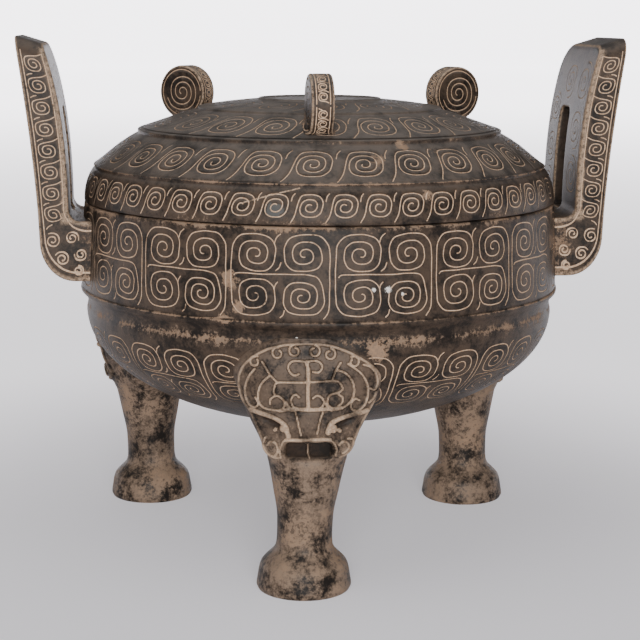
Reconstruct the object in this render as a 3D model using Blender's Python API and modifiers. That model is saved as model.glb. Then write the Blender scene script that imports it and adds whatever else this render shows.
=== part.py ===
"""Lidded tripod cauldron of burnished terracotta, after the ancient bronze form.

Two fired pieces: the vessel, a round-bottomed bowl with two upright slotted ears and three
masked legs, and a stepped lid with three disc knobs that rests on its rim.
Metres, +Z up. The ears stand on the X axis, the three feet stand on z = 0.
"""

from math import cos, pi, radians, sin

import bmesh
import bpy
from mathutils import Matrix, Vector

# Bowl
BELLY_RADIUS = 0.1200
RIM_INSET = 0.0026
LOWER_INSET = 0.0028
GROOVE_DEPTH = 0.0010
BOWL_UNDERSIDE = 0.0595
LOWER_DEPTH = 0.0565
GROOVE_HEIGHT = 0.0056
MOULDING_HEIGHT = 0.0068
BAND_HEIGHT = 0.0410
BAND_SWELL = 0.0008
WALL = 0.0065
FLOOR = 0.0075

# Mouth, with the low inner lip that keeps the lid in place
LIP_HEIGHT = 0.0050
LIP_WIDTH = 0.0038
LIP_CLEARANCE = 0.0012
SEAT_GAP = 0.0003

# Lid, counted inwards from the rim
LID_WALL = 0.0065
LID_BAND_HEIGHT = 0.0152
LID_BAND_INSET = 0.0046
NECK_HEIGHT = 0.0012
NECK_INSET = 0.0005
TIER_RUN = 0.0220
TIER_RISE = 0.0167
SHOULDER_RUN = 0.0292
SHOULDER_RISE = 0.0112
CROWN_RISE = 0.0053
EDGE_HEIGHT = 0.0018
DISC_RADIUS = 0.0300
DISC_RIDGE = 0.0007

# Knobs
KNOB_RADIUS = 0.0138
KNOB_THICKNESS = 0.0105
KNOB_EDGE = 0.0012
KNOB_SINK = 0.0019
KNOB_INSET = 0.0105
KNOB_COIL_RADIUS = 0.0098
KNOB_COIL_DEPTH = 0.0008
KNOB_BEARINGS = (-96.3, 23.7, 143.7)
KNOB_TWISTS = (8.0, 0.0, 0.0)

# Ears
EAR_WIDTH = 0.0680
EAR_THICKNESS = 0.0140
EAR_STAND = 0.0038
EAR_RISE = 0.0806
EAR_TOP_SLOPE = 0.0040
EAR_INNER_LEAN = 0.0105
EAR_OUTER_LEAN = 0.0097
EAR_FRONT_SHOULDER = 0.0095
EAR_BACK_SHOULDER = 0.0150
ROOT_DROP = 0.0072
ROOT_HEIGHT = 0.0288
ROOT_FILLET = 0.0055
ELBOW_REACH = 0.0165
ELBOW_RISE = 0.0195
SLOT_WIDTH = 0.0170
SLOT_OFFSET = 0.0040
SLOT_SILL = 0.0020
SLOT_HEIGHT = 0.0505
SLOT_CORNER = 0.0040

# Legs, set by hand a little off the bowl's centre
LEG_INSET = 0.0211
LEG_SHIFT = Vector((-0.0060, 0.0007, 0.0))
LEG_BEARINGS = (-96.3, 23.7, 143.7)
HOOF_RADIUS = 0.0219
HOOF_HEIGHT = 0.0160
ANKLE_RADIUS = 0.0126
CALF_RADIUS = 0.0182
MASK_HALF_WIDTH = 0.0334
MASK_ASIDE = 0.0015
MASK_PROUD = 0.0205
MASK_LEAN = 0.0100
MASK_TAPER = 0.0060
JAW_HALF_WIDTH = 0.0203
JAW_HEIGHT = 0.0700
JAW_DROP = 0.0040
RIDGE_RADIUS = 0.0012
RIDGE_LIFT = 0.0006
EYE_RADIUS = 0.0024
MOUTH_WIDTH = 0.0220
MOUTH_HEIGHT = 0.0080
MOUTH_DEPTH = 0.0028

# Facets
TURN_SIDES = 32
KNOB_SIDES = 14
LEG_SIDES = 16

# Heights and radii that follow from the sizes above
lower_radius = BELLY_RADIUS - LOWER_INSET
rim_radius = BELLY_RADIUS - RIM_INSET
inner_radius = lower_radius - WALL
bowl_shoulder = BOWL_UNDERSIDE + LOWER_DEPTH
moulding_foot = bowl_shoulder + GROOVE_HEIGHT
band_foot = moulding_foot + MOULDING_HEIGHT
rim_height = band_foot + BAND_HEIGHT
lid_foot = rim_height + SEAT_GAP
lip_radius = rim_radius - LID_WALL - LIP_CLEARANCE
neck_radius = rim_radius - LID_BAND_INSET - NECK_INSET
tier_radius = rim_radius - LID_BAND_INSET - NECK_INSET / 2
shoulder_radius = tier_radius - TIER_RUN
crown_radius = shoulder_radius - SHOULDER_RUN
ear_inner = BELLY_RADIUS + EAR_STAND
ear_outer = ear_inner + EAR_THICKNESS
ear_top = rim_height + EAR_RISE
root_top = rim_height - ROOT_DROP
root_foot = root_top - ROOT_HEIGHT
elbow_top = root_foot + ELBOW_RISE
leg_circle = BELLY_RADIUS - LEG_INSET


def clear_scene():
    for thing in list(bpy.data.objects):
        bpy.data.objects.remove(thing, do_unlink=True)


def collection(name):
    group = bpy.data.collections.new(name)
    bpy.context.scene.collection.children.link(group)
    return group


def clay(name, colour, roughness):
    """A fired clay finish."""
    material = bpy.data.materials.new(name)
    material.use_nodes = True
    shader = material.node_tree.nodes["Principled BSDF"]
    shader.inputs["Base Color"].default_value = (*colour, 1.0)
    shader.inputs["Roughness"].default_value = roughness
    shader.inputs["Metallic"].default_value = 0.0
    return material


def new_object(name, data, group):
    thing = bpy.data.objects.new(name, data)
    group.objects.link(thing)
    return thing


def cutter_look(thing):
    thing.hide_render = True
    thing.display_type = "WIRE"
    return thing


def finished_mesh(thing, name):
    """The object's evaluated mesh in world space, welded and facing outwards."""
    bpy.context.view_layer.update()
    evaluated = thing.evaluated_get(bpy.context.evaluated_depsgraph_get())
    mesh = bpy.data.meshes.new_from_object(evaluated)
    mesh.name = name
    work = bmesh.new()
    work.from_mesh(mesh)
    work.transform(thing.matrix_world)
    bmesh.ops.remove_doubles(work, verts=work.verts, dist=1e-6)
    bmesh.ops.recalc_face_normals(work, faces=work.faces)
    work.to_mesh(mesh)
    work.free()
    return mesh


def replace_by_mesh(thing, group):
    """Swap a curve or a modified object for the plain mesh that it makes."""
    name = thing.name
    mesh = finished_mesh(thing, name)
    bpy.data.objects.remove(thing, do_unlink=True)
    return cutter_look(new_object(name, mesh, group))


def combine(target, tool, operation, solver="EXACT"):
    """Union, difference or intersection, kept as the target's new mesh."""
    boolean = target.modifiers.new(operation.lower(), "BOOLEAN")
    boolean.operation = operation
    boolean.solver = solver
    boolean.object = tool
    mesh = finished_mesh(target, target.name)
    target.modifiers.remove(boolean)
    target.data = mesh
    return target


def turned(name, profile, sides, group):
    """A profile in the XZ plane, turned about the Z axis."""
    mesh = bpy.data.meshes.new(name)
    edges = [(i, i + 1) for i in range(len(profile) - 1)]
    mesh.from_pydata([(r, 0.0, z) for r, z in profile], edges, [])
    thing = new_object(name, mesh, group)
    screw = thing.modifiers.new("turn", "SCREW")
    screw.axis = "Z"
    screw.angle = 2 * pi
    screw.steps = sides
    screw.render_steps = sides
    screw.use_merge_vertices = True
    screw.merge_threshold = 1e-5
    return replace_by_mesh(thing, group)


def slab(name, outline, thickness, matrix, group):
    """A flat outline in its own XY plane, extruded both ways and placed."""
    curve = bpy.data.curves.new(name, "CURVE")
    curve.dimensions = "2D"
    curve.fill_mode = "BOTH"
    curve.extrude = thickness / 2
    spline = curve.splines.new("POLY")
    spline.points.add(len(outline) - 1)
    for point, (x, y) in zip(spline.points, outline):
        point.co = (x, y, 0.0, 1.0)
    spline.use_cyclic_u = True
    thing = new_object(name, curve, group)
    thing.matrix_world = matrix
    return replace_by_mesh(thing, group)


def tube(name, points, radius, group):
    """A low ridge of clay: a four-sided tube along the points, with its ends filled."""
    curve = bpy.data.curves.new(name, "CURVE")
    curve.dimensions = "3D"
    curve.bevel_depth = radius
    curve.bevel_resolution = 0
    curve.use_fill_caps = True
    spline = curve.splines.new("POLY")
    spline.points.add(len(points) - 1)
    for point, place in zip(spline.points, points):
        point.co = (*place, 1.0)
    return replace_by_mesh(new_object(name, curve, group), group)


def bead(name, place, radius, group):
    """A small round pellet of clay."""
    mesh = bpy.data.meshes.new(name)
    work = bmesh.new()
    bmesh.ops.create_uvsphere(work, u_segments=6, v_segments=4, radius=radius)
    bmesh.ops.translate(work, verts=work.verts, vec=place)
    work.to_mesh(mesh)
    work.free()
    return cutter_look(new_object(name, mesh, group))


def arc(centre, radii, start, end, steps):
    """Points on an elliptical arc between two angles in degrees, both ends included."""
    points = []
    for i in range(steps + 1):
        angle = radians(start + (end - start) * i / steps)
        points.append((centre[0] + radii[0] * cos(angle), centre[1] + radii[1] * sin(angle)))
    return points


def bowl_profile():
    """From the floor inside, up over the lip and down the outside to the underside."""
    inside = arc((0.0, bowl_shoulder), (inner_radius, LOWER_DEPTH - FLOOR), -90, 0, 5)
    lip_inner = lip_radius - LIP_WIDTH
    neck = [
        (inner_radius, rim_height - 2 * LIP_HEIGHT),
        (lip_inner, rim_height - LIP_HEIGHT / 2),
        (lip_inner, rim_height + LIP_HEIGHT),
        (lip_radius, rim_height + LIP_HEIGHT),
        (lip_radius, rim_height),
        (rim_radius, rim_height),
    ]
    band = []
    for share in (0.06, 0.35, 0.65, 0.95):
        width = rim_radius + (RIM_INSET - BAND_SWELL) * share + BAND_SWELL * sin(pi * share)
        band.append((width, rim_height - BAND_HEIGHT * share))
    moulding = [
        (BELLY_RADIUS, band_foot - 0.35 * MOULDING_HEIGHT),
        (BELLY_RADIUS - 0.2 * LOWER_INSET, moulding_foot + 0.2 * MOULDING_HEIGHT),
        (lower_radius - GROOVE_DEPTH, moulding_foot),
        (lower_radius - GROOVE_DEPTH, bowl_shoulder + 0.25 * GROOVE_HEIGHT),
    ]
    outside = arc((0.0, bowl_shoulder), (lower_radius, LOWER_DEPTH), 0, -90, 8)
    return inside + neck + band + moulding + outside


def core_profile():
    """The surface halfway through the wall, where ears and legs end inside the clay."""
    half = WALL / 2
    lower = arc((0.0, bowl_shoulder), (lower_radius - half, LOWER_DEPTH - FLOOR / 2), 0, -90, 8)
    return [(0.0, ear_top), (lower_radius - half, ear_top)] + lower


def lid_outer_profile():
    """From the middle of the top down the terraces to the foot of the lid."""
    foot = lid_foot
    neck_foot = foot + LID_BAND_HEIGHT
    tier_foot = neck_foot + NECK_HEIGHT
    shoulder_foot = tier_foot + TIER_RISE
    crown_foot = shoulder_foot + SHOULDER_RISE
    top = crown_foot + CROWN_RISE
    crown = [
        (0.0, top),
        (DISC_RADIUS - 4 * DISC_RIDGE, top),
        (DISC_RADIUS - 2 * DISC_RIDGE, top + DISC_RIDGE),
        (DISC_RADIUS, top + DISC_RIDGE / 2),
        (DISC_RADIUS + DISC_RIDGE, top - DISC_RIDGE),
        (crown_radius - EDGE_HEIGHT / 2, crown_foot + EDGE_HEIGHT / 2),
    ]
    shoulder = [
        (crown_radius + EDGE_HEIGHT / 4, crown_foot),
        (crown_radius + SHOULDER_RUN / 2, shoulder_foot + 0.58 * SHOULDER_RISE),
        (shoulder_radius - EDGE_HEIGHT, shoulder_foot + EDGE_HEIGHT),
        (shoulder_radius, shoulder_foot + EDGE_HEIGHT / 2),
        (shoulder_radius, shoulder_foot - EDGE_HEIGHT / 3),
    ]
    tier = [
        (shoulder_radius + TIER_RUN / 2, tier_foot + 0.55 * TIER_RISE),
        (tier_radius - EDGE_HEIGHT, tier_foot + EDGE_HEIGHT),
        (tier_radius, tier_foot + EDGE_HEIGHT / 3),
        (neck_radius, tier_foot - NECK_HEIGHT / 3),
        (neck_radius + NECK_INSET, neck_foot),
    ]
    band = arc((rim_radius - LID_BAND_INSET, foot), (LID_BAND_INSET, LID_BAND_HEIGHT), 70, 0, 3)
    return crown + shoulder + tier + band


def lid_profile():
    """The outer terraces, then back under the lid along its smooth hollow side."""
    outer = lid_outer_profile()
    top = outer[0][1]
    hollow_radius = rim_radius - LID_WALL
    inside = [
        (hollow_radius, lid_foot),
        (hollow_radius, lid_foot + LIP_HEIGHT + LIP_CLEARANCE),
        (tier_radius - LID_WALL, lid_foot + LID_BAND_HEIGHT),
        (shoulder_radius - LID_WALL / 2, height_on(outer, shoulder_radius - LID_WALL / 2) - LID_WALL),
        (crown_radius, height_on(outer, crown_radius) - LID_WALL),
        (DISC_RADIUS, top - LID_WALL),
        (0.0, top - LID_WALL),
    ]
    return outer + inside


def height_on(profile, radius):
    """Height of an outer profile at a radius."""
    for (r0, z0), (r1, z1) in zip(profile, profile[1:]):
        if r0 <= radius <= r1 and r1 > r0:
            return z0 + (z1 - z0) * (radius - r0) / (r1 - r0)
    return profile[-1][1]


def knob_profile():
    """Half of the disc's section, from its middle out over one face, the edge and back."""
    half = KNOB_THICKNESS / 2
    face = [
        (0.0, half),
        (KNOB_COIL_RADIUS - 2 * KNOB_COIL_DEPTH, half),
        (KNOB_COIL_RADIUS, half - KNOB_COIL_DEPTH),
        (KNOB_COIL_RADIUS + 1.5 * KNOB_COIL_DEPTH, half),
        (KNOB_RADIUS - KNOB_EDGE, half),
        (KNOB_RADIUS, half - KNOB_EDGE),
    ]
    return face + [(r, -z) for r, z in reversed(face)]


def make_lid(group, cutters, material):
    lid = turned("lid", lid_profile(), TURN_SIDES, cutters)
    ring = shoulder_radius - KNOB_INSET
    height = height_on(lid_outer_profile(), ring) + KNOB_RADIUS - KNOB_SINK
    for number, (bearing, twist) in enumerate(zip(KNOB_BEARINGS, KNOB_TWISTS)):
        knob = turned(f"knob_{number}", knob_profile(), KNOB_SIDES, cutters)
        turn = Matrix.Rotation(radians(bearing), 4, "Z")
        stand = Matrix.Rotation(radians(twist), 4, "Z") @ Matrix.Rotation(pi / 2, 4, "X")
        knob.matrix_world = turn @ Matrix.Translation((ring, 0.0, height)) @ stand
        combine(lid, knob, "UNION")
    return keep(lid, group, cutters, material)


def ear_side_outline():
    """The ear seen along Y: root, elbow and the limb that leans outwards."""
    rise = ear_top - elbow_top
    outline = [(inner_radius, root_foot)]
    outline += arc((ear_outer - ELBOW_REACH, elbow_top), (ELBOW_REACH, ELBOW_RISE), -90, 0, 5)
    for share in (0.25, 0.5, 0.75, 1.0):
        outline.append((ear_outer + EAR_OUTER_LEAN * share ** 1.5, elbow_top + rise * share))
    for share in (1.0, 0.85, 0.7, 0.5):
        height = elbow_top + (rise - EAR_TOP_SLOPE) * share
        outline.append((ear_inner + EAR_INNER_LEAN * share ** 3, height))
    fillet = (ear_inner - ROOT_FILLET, root_top + ROOT_FILLET)
    outline += arc(fillet, (ROOT_FILLET, ROOT_FILLET), 0, -90, 3)
    outline.append((inner_radius, root_top))
    return outline


def ear_front_outline():
    """The ear seen along X: straight sides with a tight front and a wide back shoulder."""
    half = EAR_WIDTH / 2
    low = root_foot - ROOT_HEIGHT
    front = arc(
        (EAR_FRONT_SHOULDER - half, ear_top - EAR_FRONT_SHOULDER),
        (EAR_FRONT_SHOULDER, EAR_FRONT_SHOULDER), 180, 90, 3)
    back = arc(
        (half - EAR_BACK_SHOULDER, ear_top - EAR_BACK_SHOULDER),
        (EAR_BACK_SHOULDER, EAR_BACK_SHOULDER), 90, 0, 4)
    return [(-half, low)] + front + back + [(half, low)]


def slot_outline():
    """The upright slot through the ear, seen along X."""
    half = SLOT_WIDTH / 2
    sill = root_top + SLOT_SILL
    head = sill + SLOT_HEIGHT
    left = SLOT_OFFSET - half
    right = SLOT_OFFSET + half
    corners = (SLOT_CORNER, SLOT_CORNER)
    return (
        [(left, sill)]
        + arc((left + SLOT_CORNER, head - SLOT_CORNER), corners, 180, 90, 3)
        + arc((right - SLOT_CORNER, head - SLOT_CORNER), corners, 90, 0, 3)
        + [(right, sill)]
    )


def make_ear(cutters, core):
    """The ear on +X, ending inside the bowl's wall."""
    upright = Matrix.Rotation(pi / 2, 4, "X")
    facing = Matrix(((0, 0, 1, 0), (1, 0, 0, 0), (0, 1, 0, 0), (0, 0, 0, 1)))
    reach = 4 * ear_outer
    ear = slab("ear", ear_side_outline(), 2 * EAR_WIDTH, upright, cutters)
    front = slab("ear_front", ear_front_outline(), reach, facing, cutters)
    slot = slab("ear_slot", slot_outline(), reach, facing, cutters)
    combine(ear, front, "INTERSECT")
    combine(ear, slot, "DIFFERENCE")
    return combine(ear, core, "DIFFERENCE")


def leg_sections():
    """Height, half width, half depth and outward shift of the leg's sections."""
    head = bowl_shoulder - JAW_HEIGHT
    hoof = [(0.0, 0.98), (0.10, 1.0), (0.56, 0.95), (0.81, 0.87), (1.0, 0.74)]
    shaft = [(height * HOOF_HEIGHT, width * HOOF_RADIUS) for height, width in hoof]
    shaft += [(height * HOOF_HEIGHT, width * ANKLE_RADIUS) for height, width in
              ((1.22, 1.02), (2.3, 1.03))]
    shaft.append((JAW_HEIGHT - 2 * JAW_DROP, CALF_RADIUS))
    sections = [(height, radius, radius, 0.0) for height, radius in shaft]
    sections.append((JAW_HEIGHT - JAW_DROP, JAW_HALF_WIDTH, 0.9 * MASK_PROUD, 0.0))
    mask = [(0.2, 0.79, 0.0), (0.38, 0.90, 0.15), (0.57, 0.97, 0.4), (0.74, 1.0, 0.6),
            (0.89, 0.93, 0.8), (1.02, 0.74, 1.0), (1.09, 0.45, 1.0)]
    for share, width, lean in mask:
        shift = lean * MASK_LEAN
        depth = MASK_PROUD - shift - max(0.0, share - 0.8) * MASK_TAPER
        sections.append((JAW_HEIGHT + head * share, MASK_HALF_WIDTH * width, depth, shift))
    return sections


def squareness(height):
    """Round below, boxier where the mask is."""
    return 2.0 if height < JAW_HEIGHT - 1.5 * JAW_DROP else 2.8


def section_at(height):
    """The leg's section at any height, between the two nearest ones."""
    sections = leg_sections()
    for low, high in zip(sections, sections[1:]):
        if height <= high[0]:
            share = (height - low[0]) / (high[0] - low[0])
            return [a + (b - a) * share for a, b in zip(low, high)]
    return list(sections[-1])


def on_mask(across, height, lift=RIDGE_LIFT):
    """A point on the leg's front, which faces -Y, at a place across and a height."""
    _, width, depth, shift = section_at(height)
    power = squareness(height)
    share = min(0.98, abs(across) / width)
    out = shift + depth * (1 - share ** power) ** (1 / power)
    return Vector((across, -out - lift, height))


def leg_body(cutters):
    """A loft through the leg's sections, round at the hoof and boxy at the mask."""
    work = bmesh.new()
    rings = []
    for height, width, depth, shift in leg_sections():
        power = 2 / squareness(height)
        ring = []
        for i in range(LEG_SIDES):
            angle = 2 * pi * (i + 0.5) / LEG_SIDES
            across = width * abs(cos(angle)) ** power * (1 if cos(angle) > 0 else -1)
            along = depth * abs(sin(angle)) ** power * (1 if sin(angle) > 0 else -1)
            ring.append(work.verts.new((across, along - shift, height)))
        rings.append(ring)
    for lower, upper in zip(rings, rings[1:]):
        for i in range(LEG_SIDES):
            j = (i + 1) % LEG_SIDES
            work.faces.new((lower[i], lower[j], upper[j], upper[i]))
    work.faces.new(reversed(rings[0]))
    work.faces.new(rings[-1])
    bmesh.ops.recalc_face_normals(work, faces=work.faces)
    mesh = bpy.data.meshes.new("leg")
    work.to_mesh(mesh)
    work.free()
    return cutter_look(new_object("leg", mesh, cutters))


def curl(centre, radius, start, end, steps):
    """A short hook of clay on the mask, across and up in mask heights."""
    return arc(centre, (radius, radius), start, end, steps)


def mask_height(share):
    """Height on the mask: 0 at the jaw, 1 at the bowl's shoulder."""
    return JAW_HEIGHT + (bowl_shoulder - JAW_HEIGHT) * share


def mask_ridges():
    """Half of the mask's raised lines, mirrored by the caller: hooks, cheek and brow."""
    w = MASK_HALF_WIDTH
    up = mask_height
    horn = [(0.03 * w, up(0.67)), (0.42 * w, up(0.67)), (0.46 * w, up(0.56))]
    horn += curl((0.37 * w, up(0.45)), 0.11 * w, 40, -200, 4)
    cheek = [(0.47 * w, up(0.74)), (0.62 * w, up(0.64)), (0.67 * w, up(0.50)), (0.57 * w, up(0.38)),
             (0.33 * w, up(0.35)), (0.05 * w, up(0.38))]
    rim = [(0.72 * w, up(0.80)), (0.83 * w, up(0.62)), (0.84 * w, up(0.46))]
    rim += curl((0.75 * w, up(0.46)), 0.08 * w, -20, -220, 3)
    crest = curl((0.17 * w, up(0.97)), 0.10 * w, 190, -40, 3)
    crown = curl((0.41 * w, up(0.94)), 0.10 * w, 200, -50, 3)
    horn_top = curl((0.12 * w, up(0.79)), 0.09 * w, 170, -60, 3)
    brow = [(0.03 * w, up(0.31)), (0.42 * w, up(0.27)), (0.78 * w, up(0.35))]
    return [horn, cheek, rim, crest, crown, horn_top, brow]


def bend_aside(leg):
    """Bends the leg a little to one side between hoof and jaw, as it was set by hand."""
    for vertex in leg.data.vertices:
        share = (vertex.co.z - HOOF_HEIGHT) / (JAW_HEIGHT - HOOF_HEIGHT)
        vertex.co.x += MASK_ASIDE * min(1.0, max(0.0, share))
    return leg


def make_leg(cutters):
    """One leg with its animal mask, standing on z = 0 and facing -Y."""
    leg = leg_body(cutters)
    lines = [[(0.0, mask_height(0.88)), (0.0, mask_height(0.38))]]
    for line in mask_ridges():
        lines.append(line)
        lines.append([(-across, height) for across, height in line])
    half = MOUTH_WIDTH / 2
    mouth_top = JAW_HEIGHT + 0.4 * MOUTH_HEIGHT
    lip = mouth_top + RIDGE_RADIUS
    lines.append([(side * half, lip + rise * RIDGE_RADIUS) for side, rise in
                  ((-1.07, 0.0), (-0.43, 1.2), (0.45, 1.1), (1.09, 0.1))])
    for line in lines:
        ridge = tube("ridge", [on_mask(across, height) for across, height in line],
                     RIDGE_RADIUS, cutters)
        combine(leg, ridge, "UNION")
    for side in (-1, 1):
        place = on_mask(side * 0.34 * MASK_HALF_WIDTH, mask_height(0.20), 0.0)
        combine(leg, bead("eye", place, EYE_RADIUS, cutters), "UNION")
    mouth_place = on_mask(0.0, mouth_top - MOUTH_HEIGHT / 2, 0.0)
    outline = []
    for side in (-1, 1):
        centre = (side * (half - MOUTH_HEIGHT / 2), 0.0)
        start = 90 if side > 0 else 270
        outline += arc(centre, (MOUTH_HEIGHT / 2, MOUTH_HEIGHT / 2), start, start - 180, 4)
    place = Matrix.Translation(mouth_place) @ Matrix.Rotation(pi / 2, 4, "X")
    mouth = slab("mouth", outline, 2 * MOUTH_DEPTH, place, cutters)
    return bend_aside(combine(leg, mouth, "DIFFERENCE"))


def keep(thing, group, cutters, material):
    """Move a finished piece to the object's own collection and give it its finish."""
    cutters.objects.unlink(thing)
    group.objects.link(thing)
    thing.hide_render = False
    thing.display_type = "TEXTURED"
    thing.data.materials.clear()
    thing.data.materials.append(material)
    thing.data.shade_smooth()
    thing.data.set_sharp_from_angle(angle=radians(32))
    return thing


def make_vessel(group, cutters, material):
    vessel = turned("tripod_vessel", bowl_profile(), TURN_SIDES, cutters)
    core = turned("core", core_profile(), TURN_SIDES, cutters)
    ear = make_ear(cutters, core)
    for half_turn in (0.0, 1.0):
        ear.matrix_world = Matrix.Scale(-1.0 if half_turn else 1.0, 4, (1, 0, 0))
        combine(vessel, ear, "UNION")
    leg = make_leg(cutters)
    for bearing in LEG_BEARINGS:
        placed = cutter_look(new_object("placed_leg", leg.data.copy(), cutters))
        turn = Matrix.Rotation(radians(bearing), 4, "Z")
        stand = Matrix.Translation((leg_circle, 0.0, 0.0)) @ Matrix.Rotation(pi / 2, 4, "Z")
        placed.matrix_world = Matrix.Translation(LEG_SHIFT) @ turn @ stand
        placed.data = finished_mesh(placed, "placed_leg")
        placed.matrix_world = Matrix.Identity(4)
        combine(placed, core, "DIFFERENCE")
        combine(vessel, placed, "UNION")
    return keep(vessel, group, cutters, material)


def main():
    clear_scene()
    cauldron = collection("tripod_cauldron")
    cutters = collection("tripod_cauldron_cutters")
    dark_clay = clay("burnished_terracotta", (0.075, 0.060, 0.050), 0.55)
    lid_clay = clay("burnished_terracotta_lid", (0.085, 0.070, 0.060), 0.50)
    make_vessel(cauldron, cutters, dark_clay)
    make_lid(cauldron, cutters, lid_clay)


main()
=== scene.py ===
# %% [markdown]
# # A lidded tripod cauldron in burnished clay
#
# The object is a potter's copy of an ancient bronze form: a round bowl on three legs with animal
# masks, two upright ears, and a stepped lid with three disc knobs. Nearly every surface carries
# incised spirals, filled with a paler clay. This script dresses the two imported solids, the vessel
# and the lid, with finer meshes that hold those lines as real grooves.

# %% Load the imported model
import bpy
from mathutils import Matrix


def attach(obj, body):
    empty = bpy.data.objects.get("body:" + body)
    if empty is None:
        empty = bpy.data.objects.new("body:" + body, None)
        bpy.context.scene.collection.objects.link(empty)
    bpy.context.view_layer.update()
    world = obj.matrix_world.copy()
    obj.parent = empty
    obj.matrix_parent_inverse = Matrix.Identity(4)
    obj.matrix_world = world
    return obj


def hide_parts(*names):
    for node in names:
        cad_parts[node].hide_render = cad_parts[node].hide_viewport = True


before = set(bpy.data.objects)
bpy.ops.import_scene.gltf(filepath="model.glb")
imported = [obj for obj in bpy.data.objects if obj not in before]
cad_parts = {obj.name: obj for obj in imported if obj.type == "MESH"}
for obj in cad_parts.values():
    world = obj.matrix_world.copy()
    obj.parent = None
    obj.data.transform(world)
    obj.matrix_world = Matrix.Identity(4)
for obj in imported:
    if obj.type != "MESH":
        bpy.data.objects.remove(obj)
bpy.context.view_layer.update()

# %% Imports and units
from math import atan2, ceil, cos, hypot, pi, radians, sin, sqrt

import bmesh
import bpy
import numpy as np
from mathutils import Matrix, Vector
from mathutils.geometry import delaunay_2d_cdt

MM = 0.001
print("drawings are in millimetres, meshes in metres")

# %% [markdown]
# ## Camera first
#
# The photograph was taken from a little above the rim with a long lens. Placing the camera before
# anything else means that every later render can be laid beside the photograph. A track-to
# constraint would do, but plain angles keep the slight roll of the real picture.

# %% Camera
CAMERA_BEARING = -96.3
CAMERA_DISTANCE = 811.6 * MM
CAMERA_HEIGHT = 257.9 * MM
CAMERA_PITCH = 10.56
CAMERA_ROLL = 0.32
CAMERA_LENS = 90.7
CAMERA_SIDESTEP = 0.78 * MM

bearing = radians(CAMERA_BEARING)
to_camera = Vector((cos(bearing), sin(bearing), 0.0))
to_right = Vector((-sin(bearing), cos(bearing), 0.0))
camera_data = bpy.data.cameras.new("camera")
camera_data.lens = CAMERA_LENS
camera_data.sensor_width = 36.0
camera = bpy.data.objects.new("camera", camera_data)
camera.location = to_camera * CAMERA_DISTANCE + to_right * CAMERA_SIDESTEP
camera.location.z = CAMERA_HEIGHT
camera.rotation_euler = (
    Matrix.Rotation(bearing + pi / 2, 4, "Z")
    @ Matrix.Rotation(radians(90 - CAMERA_PITCH), 4, "X")
    @ Matrix.Rotation(radians(CAMERA_ROLL), 4, "Z")).to_euler()
bpy.context.scene.collection.objects.link(camera)
bpy.context.scene.camera = camera
print("camera at", [round(c, 3) for c in camera.location])

# %% [markdown]
# ## Drawing the ornament
#
# The potter drew each spiral with a pointed tool, starting from a straight lead and winding
# inwards. Here a line is a list of points in millimetres on a flat sheet. A spiral's radius
# shrinks steadily with its angle, and its outer turns are squarer than its inner ones, which a
# superellipse gives. Catmull-Rom smoothing rounds the leads.

# %% Smooth lines
CHORD_SHARE = 0.42
SHORTEST_STEP, LONGEST_STEP = 0.42, 1.5
STEPS_BETWEEN = 8
POINTS_A_TURN = 14


def unit(values):
    """Values kept between 0 and 1."""
    return np.clip(values, 0, 1)


def smooth(points):
    """A rounded line through the points, sampled more closely where it bends more."""
    points = np.asarray(points, float)
    if len(points) < 3:
        fine = points
    else:
        padded = np.vstack([2 * points[0] - points[1], points, 2 * points[-1] - points[-2]])
        share = np.linspace(0, 1, STEPS_BETWEEN + 1)[:-1, None]
        pieces = []
        for a, b, c, d in zip(padded, padded[1:], padded[2:], padded[3:]):
            pieces.append(0.5 * (2 * b + (c - a) * share + (2 * a - 5 * b + 4 * c - d) * share ** 2
                                 + (3 * b - a - 3 * c + d) * share ** 3))
        fine = np.vstack(pieces + [points[-1:]])
    steps = np.diff(fine, axis=0)
    spans = np.linalg.norm(steps, axis=1)
    headings = np.unwrap(np.arctan2(steps[:, 1], steps[:, 0]))
    bends = np.abs(np.gradient(headings)) / np.maximum(spans, 1e-6) if len(spans) > 1 else spans * 0
    wanted = np.clip(CHORD_SHARE / np.sqrt(np.maximum(bends, 1e-4)), SHORTEST_STEP, LONGEST_STEP)
    progress = np.r_[0, np.cumsum(spans / wanted)]
    at = np.linspace(0, progress[-1], max(2, int(ceil(progress[-1])) + 1))
    return np.column_stack([np.interp(at, progress, fine[:, k]) for k in (0, 1)])


def coil(centre, radius, turns, start, hand, core=1.1, tall=1.0, lean=0.0, square=1.1):
    """Points of a spiral that winds inwards from an angle, squarer outside than inside."""
    count = int(turns * POINTS_A_TURN)
    points = []
    for i in range(count + 1):
        share = i / count
        angle = radians(start) + hand * 2 * pi * turns * share
        power = 2 + square * (1 - share)
        reach = radius + (core - radius) * share
        reach /= (abs(cos(angle)) ** power + abs(sin(angle)) ** power) ** (1 / power)
        across, up = reach * cos(angle), reach * sin(angle) * tall
        points.append((centre[0] + across + lean * up, centre[1] + up))
    return points


print("a test spiral has", len(smooth(coil((0, 0), 9, 3, 180, -1))), "points")

# %% [markdown]
# ## Cutting grooves into a flat sheet
#
# A line drawn on clay is a small trench: two edges and a floor. A fine regular grid would need
# millions of faces to show lines under a millimetre wide. A constrained Delaunay triangulation
# instead takes the trench edges and floor edges as lines that it has to keep, and fills the rest
# with few, larger triangles. How deep each vertex lies follows from its distance to the nearest
# line, so crossings and overlapping tails come out right by themselves.

# %% Distance to drawn lines
FLOOR_SHARE = 0.5
FAR_AWAY = 1e6
BLOCK = 2000


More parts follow.
